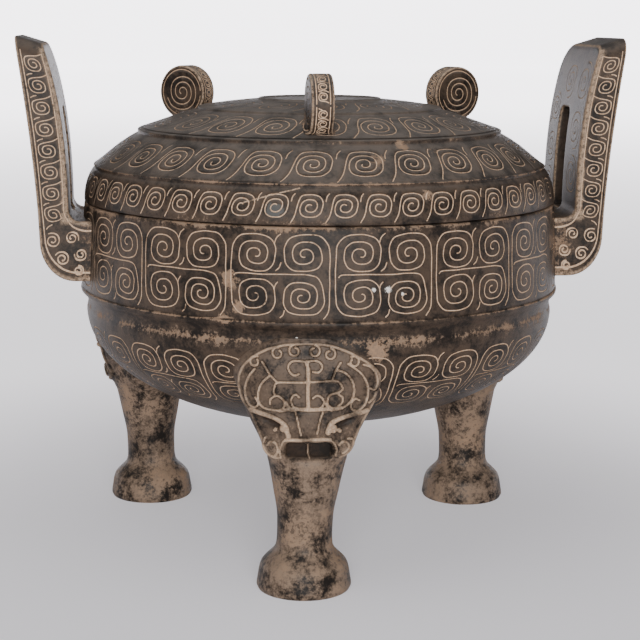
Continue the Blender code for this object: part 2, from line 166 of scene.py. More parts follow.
def distance_to(points, lines):
    """Distance from each point to the nearest line."""
    points = np.asarray(points, float)
    if not lines:
        return np.full(len(points), FAR_AWAY)
    starts = np.vstack([line[:-1] for line in lines])
    runs = np.vstack([line[1:] for line in lines]) - starts
    squares = np.maximum((runs ** 2).sum(1), 1e-12)
    best = np.full(len(points), FAR_AWAY)
    for low in range(0, len(points), BLOCK):
        block = points[low:low + BLOCK, None, :] - starts[None]
        share = unit((block * runs[None]).sum(2) / squares)
        gap = block - share[..., None] * runs[None]
        best[low:low + BLOCK] = np.sqrt((gap ** 2).sum(2)).min(1)
    return best


def groove_share(distance, width):
    """1 on the floor of a groove, 0 at its edges and beyond."""
    half = width / 2
    return unit((half - distance) / (half * (1 - FLOOR_SHARE)))


print("grooves have a flat floor over", FLOOR_SHARE, "of their width")

# %% Carved sheets
ROW_SHARE = 0.87
CLEAR_SHARE = 0.4


def rails(line, offset):
    """The line moved sideways by an offset, mitred at its bends."""
    steps = np.diff(line, axis=0)
    steps /= np.maximum(np.linalg.norm(steps, axis=1), 1e-9)[:, None]
    turned = np.vstack([steps[:1], steps[:-1] + steps[1:], steps[-1:]])
    turned /= np.maximum(np.linalg.norm(turned, axis=1), 1e-9)[:, None]
    return line + offset * np.column_stack([-turned[:, 1], turned[:, 0]])


def inside(points, outline):
    """Which points lie within a closed outline."""
    x, y = points[:, 0], points[:, 1]
    result = np.zeros(len(points), bool)
    for (x0, y0), (x1, y1) in zip(outline, np.roll(outline, -1, axis=0)):
        if y0 == y1:
            continue
        crosses = (y0 > y) != (y1 > y)
        result ^= crosses & (x < (x1 - x0) * (y - y0) / (y1 - y0) + x0)
    return result


def carved_sheet(outline, lines, width=0.9, spacing=3.0, holes=()):
    """Triangles that fill an outline and keep every groove edge: points, triangles, groove share."""
    outline = np.asarray(outline, float)
    coords, edges = [], []

    def add(points, closed=False):
        first = len(coords)
        coords.extend(map(tuple, points))
        edges.extend((first + i, first + i + 1) for i in range(len(points) - 1))
        if closed:
            edges.append((first + len(points) - 1, first))

    add(outline, closed=True)
    for hole in holes:
        add(hole, closed=True)
    for line in lines:
        half = width / 2
        for side in (-1, 1):
            ahead, behind = line[-1] - line[-2], line[0] - line[1]
            rim = rails(line, side * half)
            tip = line[-1] + ahead / np.linalg.norm(ahead) * half
            tail = line[0] + behind / np.linalg.norm(behind) * half
            add(np.vstack([tail, rim, tip]))
            add(rails(line, side * half * FLOOR_SHARE))
    low, high = outline.min(0), outline.max(0)
    rows = np.arange(low[1] + spacing / 2, high[1], spacing * ROW_SHARE)
    fill = [(x + (r % 2) * spacing / 2, y) for r, y in enumerate(rows)
            for x in np.arange(low[0] + spacing / 2, high[0], spacing)]
    fill = np.array(fill) if fill else np.zeros((0, 2))
    if len(fill):
        closed = [np.vstack([loop, loop[:1]]) for loop in [outline, *holes]]
        keep = inside(fill, outline) & (distance_to(fill, closed) > spacing * CLEAR_SHARE)
        for hole in holes:
            keep &= ~inside(fill, np.asarray(hole))
        if lines:
            keep &= distance_to(fill, lines) > width
        coords.extend(map(tuple, fill[keep]))
    found = delaunay_2d_cdt([Vector(c) for c in coords], edges, [], 0, 1e-5, False)
    points = np.array([tuple(p) for p in found[0]])
    triangles = np.array([tuple(t) for t in found[2]])
    middles = points[triangles].mean(1)
    keep = inside(middles, outline)
    for hole in holes:
        keep &= ~inside(middles, np.asarray(hole))
    triangles = triangles[keep]
    a, b, c = (points[triangles[:, k]] for k in range(3))
    area = (b - a)[:, 0] * (c - a)[:, 1] - (b - a)[:, 1] * (c - a)[:, 0]
    triangles[area < 0] = triangles[area < 0][:, ::-1]
    triangles = triangles[np.abs(area) > 1e-7]
    return points, triangles, groove_share(distance_to(points, lines), width)


test_sheet = carved_sheet([(-10, -10), (10, -10), (10, 10), (-10, 10)],
                          [smooth(coil((0, 0), 8, 2.5, 180, -1))])
print("a test sheet has", len(test_sheet[1]), "triangles")

# %% [markdown]
# ## The turned profiles
#
# Bowl and lid were thrown on a wheel, so each is one profile turned round its axis. The profile
# starts at the pole and runs so that the clay lies on its left: up the outside of the bowl, over
# the lip and down the inside. Naming places along it lets a band of ornament ask where it starts.

# %% Profile of the bowl, radius and height in millimetres
BOWL_RADIUS = 117.2
BOWL_DEPTH = 56.5
SHOULDER_HEIGHT = 116.0
RIM_HEIGHT = 169.4
LIP_TOP = 174.4
LIP_RADII = (109.7, 105.9)
CAVITY_RADIUS = 110.7
CAVITY_DEPTH = 49.0
LOWER_BAND = (-35.0, -3.0)


def arc(centre, radius, start, end, steps, height=None):
    """Points on an arc between two angles in degrees; a height of its own makes it elliptical."""
    angles = [radians(start + (end - start) * i / steps) for i in range(steps + 1)]
    return [(centre[0] + radius * cos(a), centre[1] + (height or radius) * sin(a)) for a in angles]


def lower_wall(start, end, steps):
    """The bowl's rounded lower wall between two angles below the horizontal."""
    return arc((0, SHOULDER_HEIGHT), BOWL_RADIUS, start, end, steps, BOWL_DEPTH)


bowl_sections = [
    ("underside", lower_wall(-90, LOWER_BAND[0], 18)),
    ("lower_band", lower_wall(*LOWER_BAND, 12)),
    ("moulding", [lower_wall(*LOWER_BAND, 12)[-1], (117.2, 115.0), (117.1, 116.6),
                  (116.7, 118.2), (116.5, 120.2), (116.9, 122.2), (118.0, 123.8), (119.2, 124.9),
                  (119.8, 125.6), (119.95, 126.4), (119.8, 127.2), (119.35, 128.2)]),
    ("belly_band", [(119.35, 128.2), (119.25, 134.0), (119.0, 142.0), (118.7, 150.0),
                    (118.3, 158.0), (117.7, 166.0), (117.45, 168.4)]),
    ("rim", [(117.45, 168.4), (117.2, 168.95), (116.8, 169.25), (116.2, RIM_HEIGHT),
             (LIP_RADII[0] + 0.4, RIM_HEIGHT), (LIP_RADII[0], RIM_HEIGHT + 0.4),
             (LIP_RADII[0], LIP_TOP - 1.0), (LIP_RADII[0] - 1.0, LIP_TOP),
             (LIP_RADII[1] + 1.0, LIP_TOP), (LIP_RADII[1], LIP_TOP - 1.0),
             (LIP_RADII[1] + 0.6, 167.0), (CAVITY_RADIUS - 0.4, 160.5), (CAVITY_RADIUS, 157.0)]),
    ("cavity", [(CAVITY_RADIUS, 157.0), (CAVITY_RADIUS, 130.0)]
     + arc((0, SHOULDER_HEIGHT), CAVITY_RADIUS, 0, -90, 16, CAVITY_DEPTH)),
]


def along(points):
    """Length from the start to each point of a polyline."""
    steps = [hypot(b[0] - a[0], b[1] - a[1]) for a, b in zip(points, points[1:])]
    return np.r_[0.0, np.cumsum(steps)]


def join_sections(sections):
    """One long profile, and where along it each section starts and ends."""
    profile, stations, length = [], {}, 0.0
    for name, points in sections:
        if profile:
            length += hypot(points[0][0] - profile[-1][0], points[0][1] - profile[-1][1])
        lengths = along(points)
        stations[name] = (length, length + lengths[-1])
        length += lengths[-1]
        profile += points if not profile or profile[-1] != points[0] else points[1:]
    return profile, stations


bowl_profile, bowl_stations = join_sections(bowl_sections)
print("bowl:", {name: [round(s, 1) for s in span] for name, span in bowl_stations.items()})

# %% Profile of the lid
LID_FOOT = 169.7
LID_TOP = 219.3
lid_sections = [
    ("hollow", [(0.0, 212.8), (30.0, 212.8), (61.4, 208.0), (87.3, 199.2), (106.0, 185.0),
                (110.9, 176.0), (110.9, LID_FOOT + 0.5), (111.4, LID_FOOT), (116.6, LID_FOOT),
                (117.2, LID_FOOT + 0.25), (117.4, LID_FOOT + 0.8)]),
    ("lid_band", [(117.4, LID_FOOT + 0.8), (117.3, 173.2), (116.8, 176.5), (115.9, 179.8),
                  (114.6, 182.8), (113.3, 184.9)]),
    ("neck", [(113.3, 184.9), (112.8, 185.5), (112.35, 185.9), (112.2, 186.3), (112.3, 186.8),
              (112.5, 187.2), (112.35, 187.6), (111.8, 187.9)]),
    ("tier", [(111.8, 187.9), (109.6, 189.4), (105.4, 192.8), (100.1, 197.0), (95.4, 200.1),
              (92.4, 201.8)]),
    ("ridge", [(92.4, 201.8), (91.2, 202.4), (90.7, 202.8), (90.5, 203.3), (90.65, 203.8),
               (90.65, 204.3), (90.3, 204.7), (89.4, 205.1), (88.2, 205.4)]),
    ("shoulder", [(88.2, 205.4), (82.0, 207.5), (75.2, 209.8), (68.0, 212.3), (62.4, 213.9)]),
    ("step", [(62.4, 213.9), (61.2, 214.2), (60.8, 214.6), (60.6, 215.2), (60.0, 215.6),
              (58.8, 215.9)]),
    ("crown", [(58.8, 215.9), (48.0, 217.4), (38.0, 218.5), (33.0, 218.9)]),
    ("disc_edge", [(33.0, 218.9), (31.2, 219.0), (30.7, 219.5), (30.1, 219.9), (29.3, 219.95),
                   (28.5, 219.6), (28.0, LID_TOP)]),
    ("disc", [(28.0, LID_TOP), (1.5, LID_TOP - 0.1)]),
    ("pole", [(1.5, LID_TOP - 0.1), (0.0, LID_TOP - 0.1)]),
]
lid_profile, lid_stations = join_sections(lid_sections)
print("lid:", {name: [round(s, 1) for s in span] for name, span in lid_stations.items()})

# %% [markdown]
# ## Motifs
#
# Two motifs make all the bands. On the belly, the outer turns of four spirals share a panel's
# border lines and its cross line. On the lid and the ears, single spirals hang on slanted leads,
# like a running wave. Short tails link neighbours. Drawing each motif once, in its own small
# frame, keeps the number of sizes low.

# %% Belly panel
PANEL_HALF = 22.0
PANEL_COIL = 10.8


def panel_lines(wide=1.0, high=1.0):
    """Four linked spirals in a panel whose middle is at the origin."""
    half = PANEL_HALF
    upper_left = coil((-11.0, 9.0), PANEL_COIL, 2.75, 180, -1, tall=0.90)
    lower_left = coil((-11.0, -9.4), PANEL_COIL, 2.7, 180, 1, tall=0.90)
    lower_right = coil((10.0, -9.9), 9.7, 2.75, 0, -1, tall=0.88)
    upper_right = coil((11.2, 9.1), PANEL_COIL, 2.75, 0, 1, tall=0.90)
    lines = [
        lower_left[::-1] + [(-half, -4.0), (-half, 3.0)] + upper_left,
        [(-20.6, -0.9), (-18.6, 0.2), (-8.0, 0.3), (4.0, 0.2), (13.5, 0.0), (17.6, -2.2)]
        + lower_right,
        [(19.4, -19.4), (21.4, -16.4), (half, -12.0), (half, 1.0)] + upper_right,
        [(0.2, 18.4), (-1.5, 16.9), (-2.5, 14.2)],
        [(-1.7, 1.9), (-0.1, 3.2), (0.8, 5.4)],
        [(-0.9, -3.2), (-1.9, -4.4), (-2.4, -6.2)],
        [(0.3, -19.2), (1.6, -17.9), (2.2, -15.8)],
    ]
    return [smooth([(x * wide, y * high) for x, y in line]) for line in lines]


print("a belly panel has", len(panel_lines()), "strokes")

# %% Running wave
def wave_lines(radius, turns, pitch, height, lean=0.12, tall=1.0, core=1.0):
    """One spiral of the wave, its slanted lead on the left and its tail at the top right."""
    low = -height / 2
    wound = coil((0.0, 0.0), radius, turns, 128, -1, core=core, tall=tall, lean=lean, square=0.7)
    join = wound[0]
    lead = [(-pitch / 2 - 0.06 * pitch, low), (-pitch / 2 + 0.07 * pitch, low * 0.45),
            (join[0] - 0.10 * pitch, join[1] * 0.45)]
    tail = [(pitch * 0.56, height * 0.44), (pitch * 0.49, height * 0.33),
            (pitch * 0.455, height * 0.17)]
    return [smooth(lead + wound), smooth(tail)]


print("a wave has", len(wave_lines(6.4, 2.1, 16.2, 14.5)), "strokes")

# %% [markdown]
# ## Wrapping a band round the pot
#
# A band is one drawn tile, repeated and bent round the profile. Geometry Nodes suit this well:
# the tree instances the tile side by side, makes the copies real, reads each vertex's place as
# "so far round, so far along the profile", and moves it there. A little noise in the drawing and
# in the wall keeps the copies from looking stamped, because no two panels of the real pot match.

# %% Node helpers
def put(tree, kind, **inputs):
    """A node with its inputs linked to sockets or set to values; names use _ for spaces."""
    settings = inputs.pop("settings", {})
    node = tree.nodes.new(kind)
    for name, value in settings.items():
        setattr(node, name, value)
    for name, value in inputs.items():
        key = int(name[1:]) if name[0] == "_" else name.replace("_", " ")
        socket = node.inputs[key]
        if isinstance(value, bpy.types.NodeSocket):
            tree.links.new(value, socket)
        else:
            socket.default_value = value
    return node


def sums(tree, operation, first, second=0.0, third=0.0):
    """One Math node's result."""
    node = put(tree, "ShaderNodeMath", _0=first, _1=second, _2=third,
               settings={"operation": operation})
    return node.outputs[0]


def times(tree, first, second):
    return sums(tree, "MULTIPLY", first, second)


def larger(tree, first, second):
    return sums(tree, "MAXIMUM", first, second)


print("helpers for node trees are ready")

# %% The wrapping tree
WOBBLE_SCALE = 95.0
UNEVEN_SCALE = 26.0


def place_on_pot(tree, x, s, relief, radius, profile):
    """Sockets for a point so far round and so far along the profile, raised by its relief."""
    sample = put(tree, "GeometryNodeSampleCurve", Curves=profile, Length=s,
                 settings={"mode": "LENGTH"})
    at = put(tree, "ShaderNodeSeparateXYZ", Vector=sample.outputs["Position"])
    run = put(tree, "ShaderNodeSeparateXYZ", Vector=sample.outputs["Tangent"])
    reach = sums(tree, "MULTIPLY_ADD", run.outputs["Z"], relief, at.outputs["X"])
    drop = times(tree, run.outputs["X"], relief)
    height = sums(tree, "SUBTRACT", at.outputs["Z"], drop)
    angle = sums(tree, "DIVIDE", x, radius)
    east = times(tree, reach, sums(tree, "COSINE", angle))
    north = times(tree, reach, sums(tree, "SINE", angle))
    return put(tree, "ShaderNodeCombineXYZ", X=east, Y=north, Z=height).outputs[0]


def wrapping_tree():
    tree = bpy.data.node_groups.new("wrap_band", "GeometryNodeTree")
    for name, kind in (("Tile", "Geometry"), ("Copies", "Int"), ("Turn", "Float"),
                       ("Drawing Radius", "Float"), ("Wobble", "Float"), ("Unevenness", "Float"),
                       ("Profile", "Object"), ("Clay", "Material")):
        tree.interface.new_socket(name, in_out="INPUT", socket_type="NodeSocket" + kind)
    tree.interface.new_socket("Band", in_out="OUTPUT", socket_type="NodeSocketGeometry")
    given = tree.nodes.new("NodeGroupInput").outputs
    step = times(tree, given["Turn"], given["Drawing Radius"])
    offset = put(tree, "ShaderNodeCombineXYZ", X=step)
    places = put(tree, "GeometryNodeMeshLine", Count=given["Copies"], Offset=offset.outputs[0])
    copies = put(tree, "GeometryNodeInstanceOnPoints", Points=places.outputs[0],
                 Instance=given["Tile"])
    real = put(tree, "GeometryNodeRealizeInstances", Geometry=copies.outputs[0])
    info = put(tree, "GeometryNodeObjectInfo", Object=given["Profile"])
    profile = info.outputs["Geometry"]
    drawn = put(tree, "ShaderNodeSeparateXYZ",
                Vector=put(tree, "GeometryNodeInputPosition").outputs[0]).outputs
    radius = given["Drawing Radius"]
    first = place_on_pot(tree, drawn["X"], drawn["Y"], 0.0, radius, profile)
    shake = put(tree, "ShaderNodeTexNoise", Vector=first, Scale=WOBBLE_SCALE, Detail=1.0)
    shake = put(tree, "ShaderNodeSeparateXYZ", Vector=shake.outputs["Color"]).outputs
    free = put(tree, "GeometryNodeInputNamedAttribute", Name="free",
               settings={"data_type": "FLOAT"}).outputs["Attribute"]
    reach = times(tree, free, given["Wobble"])
    x = sums(tree, "MULTIPLY_ADD", sums(tree, "SUBTRACT", shake["X"], 0.5), reach, drawn["X"])
    s = sums(tree, "MULTIPLY_ADD", sums(tree, "SUBTRACT", shake["Y"], 0.5), reach, drawn["Y"])
    swell = put(tree, "ShaderNodeTexNoise", Vector=first, Scale=UNEVEN_SCALE, Detail=1.0)
    dip = times(tree, swell.outputs[0], given["Unevenness"])
    relief = sums(tree, "SUBTRACT", drawn["Z"], dip)
    final = place_on_pot(tree, x, s, relief, radius, profile)
    moved = put(tree, "GeometryNodeSetPosition", Geometry=real.outputs[0], Position=final)
    painted = put(tree, "GeometryNodeSetMaterial", Geometry=moved.outputs[0],
                  Material=given["Clay"])
    result = tree.nodes.new("NodeGroupOutput")
    tree.links.new(painted.outputs[0], result.inputs["Band"])
    return tree


wrap_band = wrapping_tree()
print("the wrapping tree has", len(wrap_band.nodes), "nodes")

# %% Meshes from sheets
GROOVE_WIDTH = 0.67
GROOVE_DEPTH = 0.38
WOBBLE = 0.9
UNEVENNESS = 0.25


def write_attribute(mesh, key, values):
    layer = mesh.attributes.get(key) or mesh.attributes.new(key, "FLOAT", "POINT")
    layer.data.foreach_set("value", np.asarray(values, np.float32))


def solid_mesh(name, points, faces, **layers):
    """A mesh from points in millimetres, with float attributes on its points."""
    mesh = bpy.data.meshes.new(name)
    mesh.from_pydata((np.asarray(points) * MM).tolist(), [],
                     [[int(corner) for corner in face] for face in faces])
    for key, values in layers.items():
        write_attribute(mesh, key, values)
    return mesh


def sheet_mesh(name, points, triangles, groove, depth, free):
    """A tile's mesh: x round the pot, y along the profile, z the relief."""
    places = np.column_stack([points, -depth * groove])
    return solid_mesh(name, places, triangles, incised=groove, free=free)


def wrapped(name, mesh, copies, radius, profile):
    """The tile's copies bent round the pot, as a plain mesh."""
    tile = bpy.data.objects.new(name, mesh)
    bpy.context.scene.collection.objects.link(tile)
    band = tile.modifiers.new("wrap", "NODES")
    band.node_group = wrap_band
    given = {"Copies": copies, "Turn": 2 * pi / copies, "Drawing Radius": radius * MM,
             "Wobble": WOBBLE * MM, "Unevenness": UNEVENNESS * MM, "Profile": profile}
    for item in wrap_band.interface.items_tree:
        if item.name in given:
            band[item.identifier] = given[item.name]
    bpy.context.view_layer.update()
    evaluated = tile.evaluated_get(bpy.context.evaluated_depsgraph_get())
    result = bpy.data.meshes.new_from_object(evaluated)
    bpy.data.objects.remove(tile, do_unlink=True)
    return result


def profile_curve(name, points):
    """The profile as a poly curve in the XZ plane, for the tree to read."""
    curve = bpy.data.curves.new(name, "CURVE")
    curve.dimensions = "3D"
    spline = curve.splines.new("POLY")
    spline.points.add(len(points) - 1)
    for point, (r, z) in zip(spline.points, points):
        point.co = (r * MM, 0.0, z * MM, 1.0)
    guide = bpy.data.objects.new(name, curve)
    bpy.context.scene.collection.objects.link(guide)
    return guide


print("grooves are", GROOVE_WIDTH, "mm wide and", GROOVE_DEPTH, "mm deep")

# %% Plain rings, zips and joined shells
PLAIN_RADIUS = 100.0


def around(alpha, radius):
    """Distance round the pot, at the drawing radius, of an angle seen from the camera."""
    return radians(alpha + CAMERA_BEARING) * radius


def plain_ring(name, stations, alpha, copies, columns):
    """A part without lines: a tile that is a grid with one row for each station."""
    turned = np.linspace(0, 2 * pi / copies, columns + 1) * PLAIN_RADIUS
    xs = around(alpha, PLAIN_RADIUS) + turned
    points = [(x, s) for s in stations for x in xs]
    faces = []
    for row in range(len(stations) - 1):
        for i in range(columns):
            a = row * (columns + 1) + i
            faces.append((a, a + 1, a + columns + 2, a + columns + 1))
    zeros = np.zeros(len(points))
    return name, sheet_mesh(name, points, faces, zeros, 0.0, zeros), copies, PLAIN_RADIUS


def zip_ring(name, span, low, high):
    """A full ring of triangles between two borders with unlike counts, each (alpha, count)."""
    rows = []
    for s, (alpha, count) in zip(span, (low, high)):
        xs = around(alpha, PLAIN_RADIUS) + np.arange(count + 1) * 2 * pi * PLAIN_RADIUS / count
        rows.append([(x, s) for x in xs])
    points, faces, i, j = rows[0] + rows[1], [], 0, 0
    first, second = len(rows[0]) - 1, len(rows[1]) - 1
    while i < first or j < second:
        upper = len(rows[0]) + j
        if j == second or (i < first and (i + 1) / first <= (j + 1) / second):
            faces.append((i, i + 1, upper))
            i += 1
        else:
            faces.append((i, upper + 1, upper))
            j += 1
    zeros = np.zeros(len(points))
    return name, sheet_mesh(name, points, faces, zeros, 0.0, zeros), 1, PLAIN_RADIUS


def edge_count(mesh):
    """How many edges have other than two faces."""
    work = bmesh.new()
    work.from_mesh(mesh)
    count = sum(1 for edge in work.edges if len(edge.link_faces) != 2)
    work.free()
    return count


def joined(name, meshes, weld=0.02):
    """All the meshes as one, welded where their borders meet."""
    work = bmesh.new()
    for mesh in meshes:
        work.from_mesh(mesh)
    bmesh.ops.remove_doubles(work, verts=work.verts, dist=weld * MM)
    bmesh.ops.dissolve_degenerate(work, dist=0.002 * MM, edges=work.edges)
    bmesh.ops.recalc_face_normals(work, faces=work.faces)
    result = bpy.data.meshes.new(name)
    work.to_mesh(result)
    work.free()
    print(name, "has", len(result.polygons), "faces and", edge_count(result), "open edges")
    return result


print("plain rings and zips are ready")

# %% [markdown]
# ## The bowl
#
# The real bowl was thrown, left to stiffen and then drawn on. Its belly carries sixteen panels,
# and its rounded lower wall sixteen more that do not line up with them. Below and inside it is
# plain. Each stretch of the profile is made by itself and the borders share their vertices, so
# that welding gives one closed wall.

# %% Bands of the bowl
BELLY_PANELS = 16
BELLY_START = 3.0
LOWER_START = -4.8
COLUMNS = 12
BELLY_RADIUS = 118.6
LOWER_RADIUS = 107.0
PANEL_PITCH = 46.6
BELLY_DRAWN, LOWER_DRAWN = 41.0, 41.5
SIDE_BOW = 0.15
BORDER_STEP = 2.5
FREE_MARGIN = 2.5


def border(xs, y):
    return [(x, y) for x in xs]


def band_sheet(name, span, alpha, copies, columns, radius, lines, lean=0.0, spacing=3.0,
               depth=GROOVE_DEPTH, width=GROOVE_WIDTH):
    """A drawn tile in its place on the profile; its sides lean when the motif does."""
    low, high = span
    pitch = 2 * pi * radius / copies
    start = around(alpha, radius)
    steps = np.linspace(0, pitch, columns + 1)
    rows = max(2, int((high - low) / BORDER_STEP))
    rise = np.linspace(low, high, rows + 1)
    share = (rise - low) / (high - low)
    slant = lean * share + SIDE_BOW * np.sin(pi * share)
    outline = border(start + steps, low)
    outline += list(zip(start + pitch + slant[1:-1], rise[1:-1]))
    outline += border(start + lean + steps[::-1], high)
    outline += list(zip((start + slant[1:-1])[::-1], rise[1:-1][::-1]))
    middle = np.array([start + pitch / 2 + lean / 2, (low + high) / 2])
    placed = [line + middle for line in lines]
    points, triangles, groove = carved_sheet(outline, placed, width, spacing)
    margin = np.minimum(points[:, 1] - low, high - points[:, 1])
    free = unit(margin / FREE_MARGIN)
    return sheet_mesh(name, points, triangles, groove, depth, free)


def stations_of(name, profile, spans, every=99.0):
    """The profile's own points within a section, with more between them where they are far."""
    low, high = spans[name]
    lengths = along(profile)
    at = [s for s in lengths if low - 1e-6 <= s <= high + 1e-6]
    full = [at[0]]
    for a, b in zip(at, at[1:]):
        full += list(np.linspace(a, b, max(1, ceil((b - a) / every)) + 1)[1:])
    return full


def bowl_rows(name, every=99.0):
    return stations_of(name, bowl_profile, bowl_stations, every)


def panel_band(name, start, radius, drawn_height):
    """A ring of panels, the drawing stretched to the room that it has."""
    low, high = bowl_stations[name]
    wide = 2 * pi * radius / BELLY_PANELS / PANEL_PITCH
    lines = panel_lines(wide, (high - low) / drawn_height)
    sheet = band_sheet(name, (low, high), start, BELLY_PANELS, COLUMNS, radius, lines)
    return name, sheet, BELLY_PANELS, radius


def wrap_parts(name, parts, guide):
    """All the parts of a turned wall wrapped round its profile and welded."""
    return joined(name, [wrapped(*part, guide) for part in parts])


bowl_guide = profile_curve("bowl_profile", bowl_profile)
ring_count = BELLY_PANELS * COLUMNS
low_ring, high_ring = (LOWER_START, BELLY_PANELS, COLUMNS), (BELLY_START, BELLY_PANELS, COLUMNS)
bowl_mesh = wrap_parts("bowl", [
    plain_ring("underside", bowl_rows("underside"), *low_ring),
    panel_band("lower_band", LOWER_START, LOWER_RADIUS, LOWER_DRAWN),
    plain_ring("moulding", bowl_rows("moulding")[:-1], *low_ring),
    zip_ring("moulding_zip", bowl_rows("moulding")[-2:], (LOWER_START, ring_count),
             (BELLY_START, ring_count)),
    panel_band("belly_band", BELLY_START, BELLY_RADIUS, BELLY_DRAWN),
    plain_ring("rim", bowl_rows("rim", 2.0), *high_ring),
    plain_ring("cavity", bowl_rows("cavity", 9.0), *high_ring)], bowl_guide)

# %% [markdown]
# ## The lid
#
# The lid steps up in terraces. The lowest band and the next one carry a running wave of linked
# spirals, the shoulder and the crown larger and fainter ones, and the flat disc on top is plain.
# The wave's tiles have leaning sides, so that no line crosses a joint.

# %% Bands of the lid
WAVES = {"lid_band": (48, -1.9, 4), "tier": (28, -1.6, 7), "shoulder": (20, -15.7, 9),
         "crown": (12, 4.0, 15)}
WAVE_FOOT = 0.63
WAVE_LEAN = 0.27
WAVE_HEIGHT_SHARE = 0.92
RING_STEP = 2.5
HOLLOW_STEP = 9.0


def wave_edges(name):
    """Where the left side of a band's first tile meets its lower and its upper border."""
    copies, middle, _ = WAVES[name]
    turn = 360 / copies
    return middle - WAVE_FOOT * turn, middle - (WAVE_FOOT - WAVE_LEAN) * turn


def wave_band(name, radius, coil_radius, turns, tall, depth=GROOVE_DEPTH):
    """A ring of linked spirals; WAVES gives its count, a spiral's angle and its columns."""
    low, high = lid_stations[name]
    copies, _, columns = WAVES[name]
    pitch = 2 * pi * radius / copies
    lines = wave_lines(coil_radius, turns, pitch, (high - low) * WAVE_HEIGHT_SHARE, tall=tall)
    sheet = band_sheet(name, (low, high), wave_edges(name)[0], copies, columns, radius, lines,
                       lean=WAVE_LEAN * pitch, depth=depth)
    return name, sheet, copies, radius


def lid_ring(name, wave, alpha, last=None):
    """A plain part of the lid with as many columns as the wave band that it meets."""
    copies, _, columns = WAVES[wave]
    rows = stations_of(name, lid_profile, lid_stations,
                       HOLLOW_STEP if name == "hollow" else RING_STEP)
    return plain_ring(name, rows[:last], alpha, copies, columns)


def lid_step(name, below, above):
    """A plain step between two wave bands, whose last row takes up the new count."""
    ends = [(wave_edges(below)[1], WAVES[below][0] * WAVES[below][2]),
            (wave_edges(above)[0], WAVES[above][0] * WAVES[above][2])]
    span = stations_of(name, lid_profile, lid_stations, RING_STEP)[-2:]
    return [lid_ring(name, below, ends[0][0], -1), zip_ring(name + "_zip", span, *ends)]


lid_guide = profile_curve("lid_profile", lid_profile)
lid_parts = [lid_ring("hollow", "lid_band", wave_edges("lid_band")[0]),
             wave_band("lid_band", 115.5, 6.3, 2.2, 0.93), *lid_step("neck", "lid_band", "tier"),
             wave_band("tier", 101.0, 9.3, 2.9, 0.98), *lid_step("ridge", "tier", "shoulder"),
             wave_band("shoulder", 75.5, 10.2, 2.9, 1.12, 0.30),
             *lid_step("step", "shoulder", "crown"), wave_band("crown", 46.0, 9.6, 2.6, 1.1, 0.26)]
lid_parts += [lid_ring(name, "crown", wave_edges("crown")[1])
              for name in ("disc_edge", "disc", "pole")]
lid_mesh = wrap_parts("lid_dome", lid_parts, lid_guide)

# %% [markdown]
# ## Ears and knobs as carved plates
#
# The ears and the knobs were cut from slabs of clay, drawn on at both faces and along the edge, and
# luted on. A plate here is a flat outline with a thickness: each face is a carved sheet, the edge
# is one more sheet wound along the outline, and narrow rounded strips join them. The ears are then
# bent by moving every vertex, which keeps the drawing on the clay as it was on the flat slab.

# %% Carved plates
PLATE_STEP = 1.4


def loop_normals(loop):
    """Outward normals of a closed outline that runs with the clay on its left."""
    steps = np.roll(loop, -1, axis=0) - loop
    steps /= np.linalg.norm(steps, axis=1)[:, None]
    turned = steps + np.roll(steps, 1, axis=0)
    turned /= np.linalg.norm(turned, axis=1)[:, None]
    return np.column_stack([turned[:, 1], -turned[:, 0]])


def evenly(loop, step):
    """A closed outline with points no further apart than a step."""
    points = []
    for a, b in zip(loop, np.roll(loop, -1, axis=0)):
        count = max(1, int(ceil(np.linalg.norm(b - a) / step)))
        points += [a + (b - a) * i / count for i in range(count)]
    return np.array(points)


def carved_plate(loops, thickness, edge, front, back, rims, face_depth, rim_depth, width):
    """A plate's sheets: points in 3-D, triangles, groove share, wear; the first loop is outside."""
    loops = [np.asarray(loop, float) for loop in loops]
    normals = [loop_normals(loop) for loop in loops]
    insets = [loop - edge * normal for loop, normal in zip(loops, normals)]
    half = thickness / 2
    sheets = []
    for side, lines in ((1, front), (-1, back)):
        points, triangles, groove = carved_sheet(insets[0], lines, width, PLATE_STEP, insets[1:])
        level = side * (half - face_depth * groove)
        wear = 0.0 * groove
        sheets.append((np.column_stack([points, level]), triangles[:, ::side], groove, wear))
    for loop, normal, lines in zip(loops, normals, rims):
        closed, turned = np.vstack([loop, loop[:1]]), np.vstack([normal, normal[:1]])
        lengths = along(closed)
        reach = half - edge
        sides = list(np.linspace(-reach, reach, 7)[1:-1])
        outline = [(t, -reach) for t in lengths] + [(lengths[-1], c) for c in sides]
        outline += [(t, reach) for t in lengths[::-1]] + [(0.0, c) for c in sides[::-1]]
        points, triangles, groove = carved_sheet(outline, lines, width, PLATE_STEP)
        at = [np.interp(points[:, 0], lengths, closed[:, k]) for k in (0, 1)]
        out = [np.interp(points[:, 0], lengths, turned[:, k]) for k in (0, 1)]
        places = [a - rim_depth * groove * n for a, n in zip(at, out)]
        sheets.append((np.column_stack([*places, points[:, 1]]), triangles, groove, 0.0 * groove))
        count = len(loop)
        for side in (-1, 1):
            rows = []
            for theta in (0, 30, 60, 90):
                moved = loop - normal * edge * (1 - sin(radians(theta)))
                level = side * (half - edge * (1 - cos(radians(theta))))
                rows.append(np.column_stack([moved, np.full(count, level)]))
            strip = [(r * count + i, r * count + (i + 1) % count, (r + 1) * count + (i + 1) % count)
                     for r in range(3) for i in range(count)]
            strip += [(r * count + i, (r + 1) * count + (i + 1) % count, (r + 1) * count + i)
                      for r in range(3) for i in range(count)]
            wear = np.repeat([0.0, 1.0, 1.0, 0.0], count)
            sheets.append((np.vstack(rows), np.array(strip), np.zeros(4 * count), wear))
    return sheets


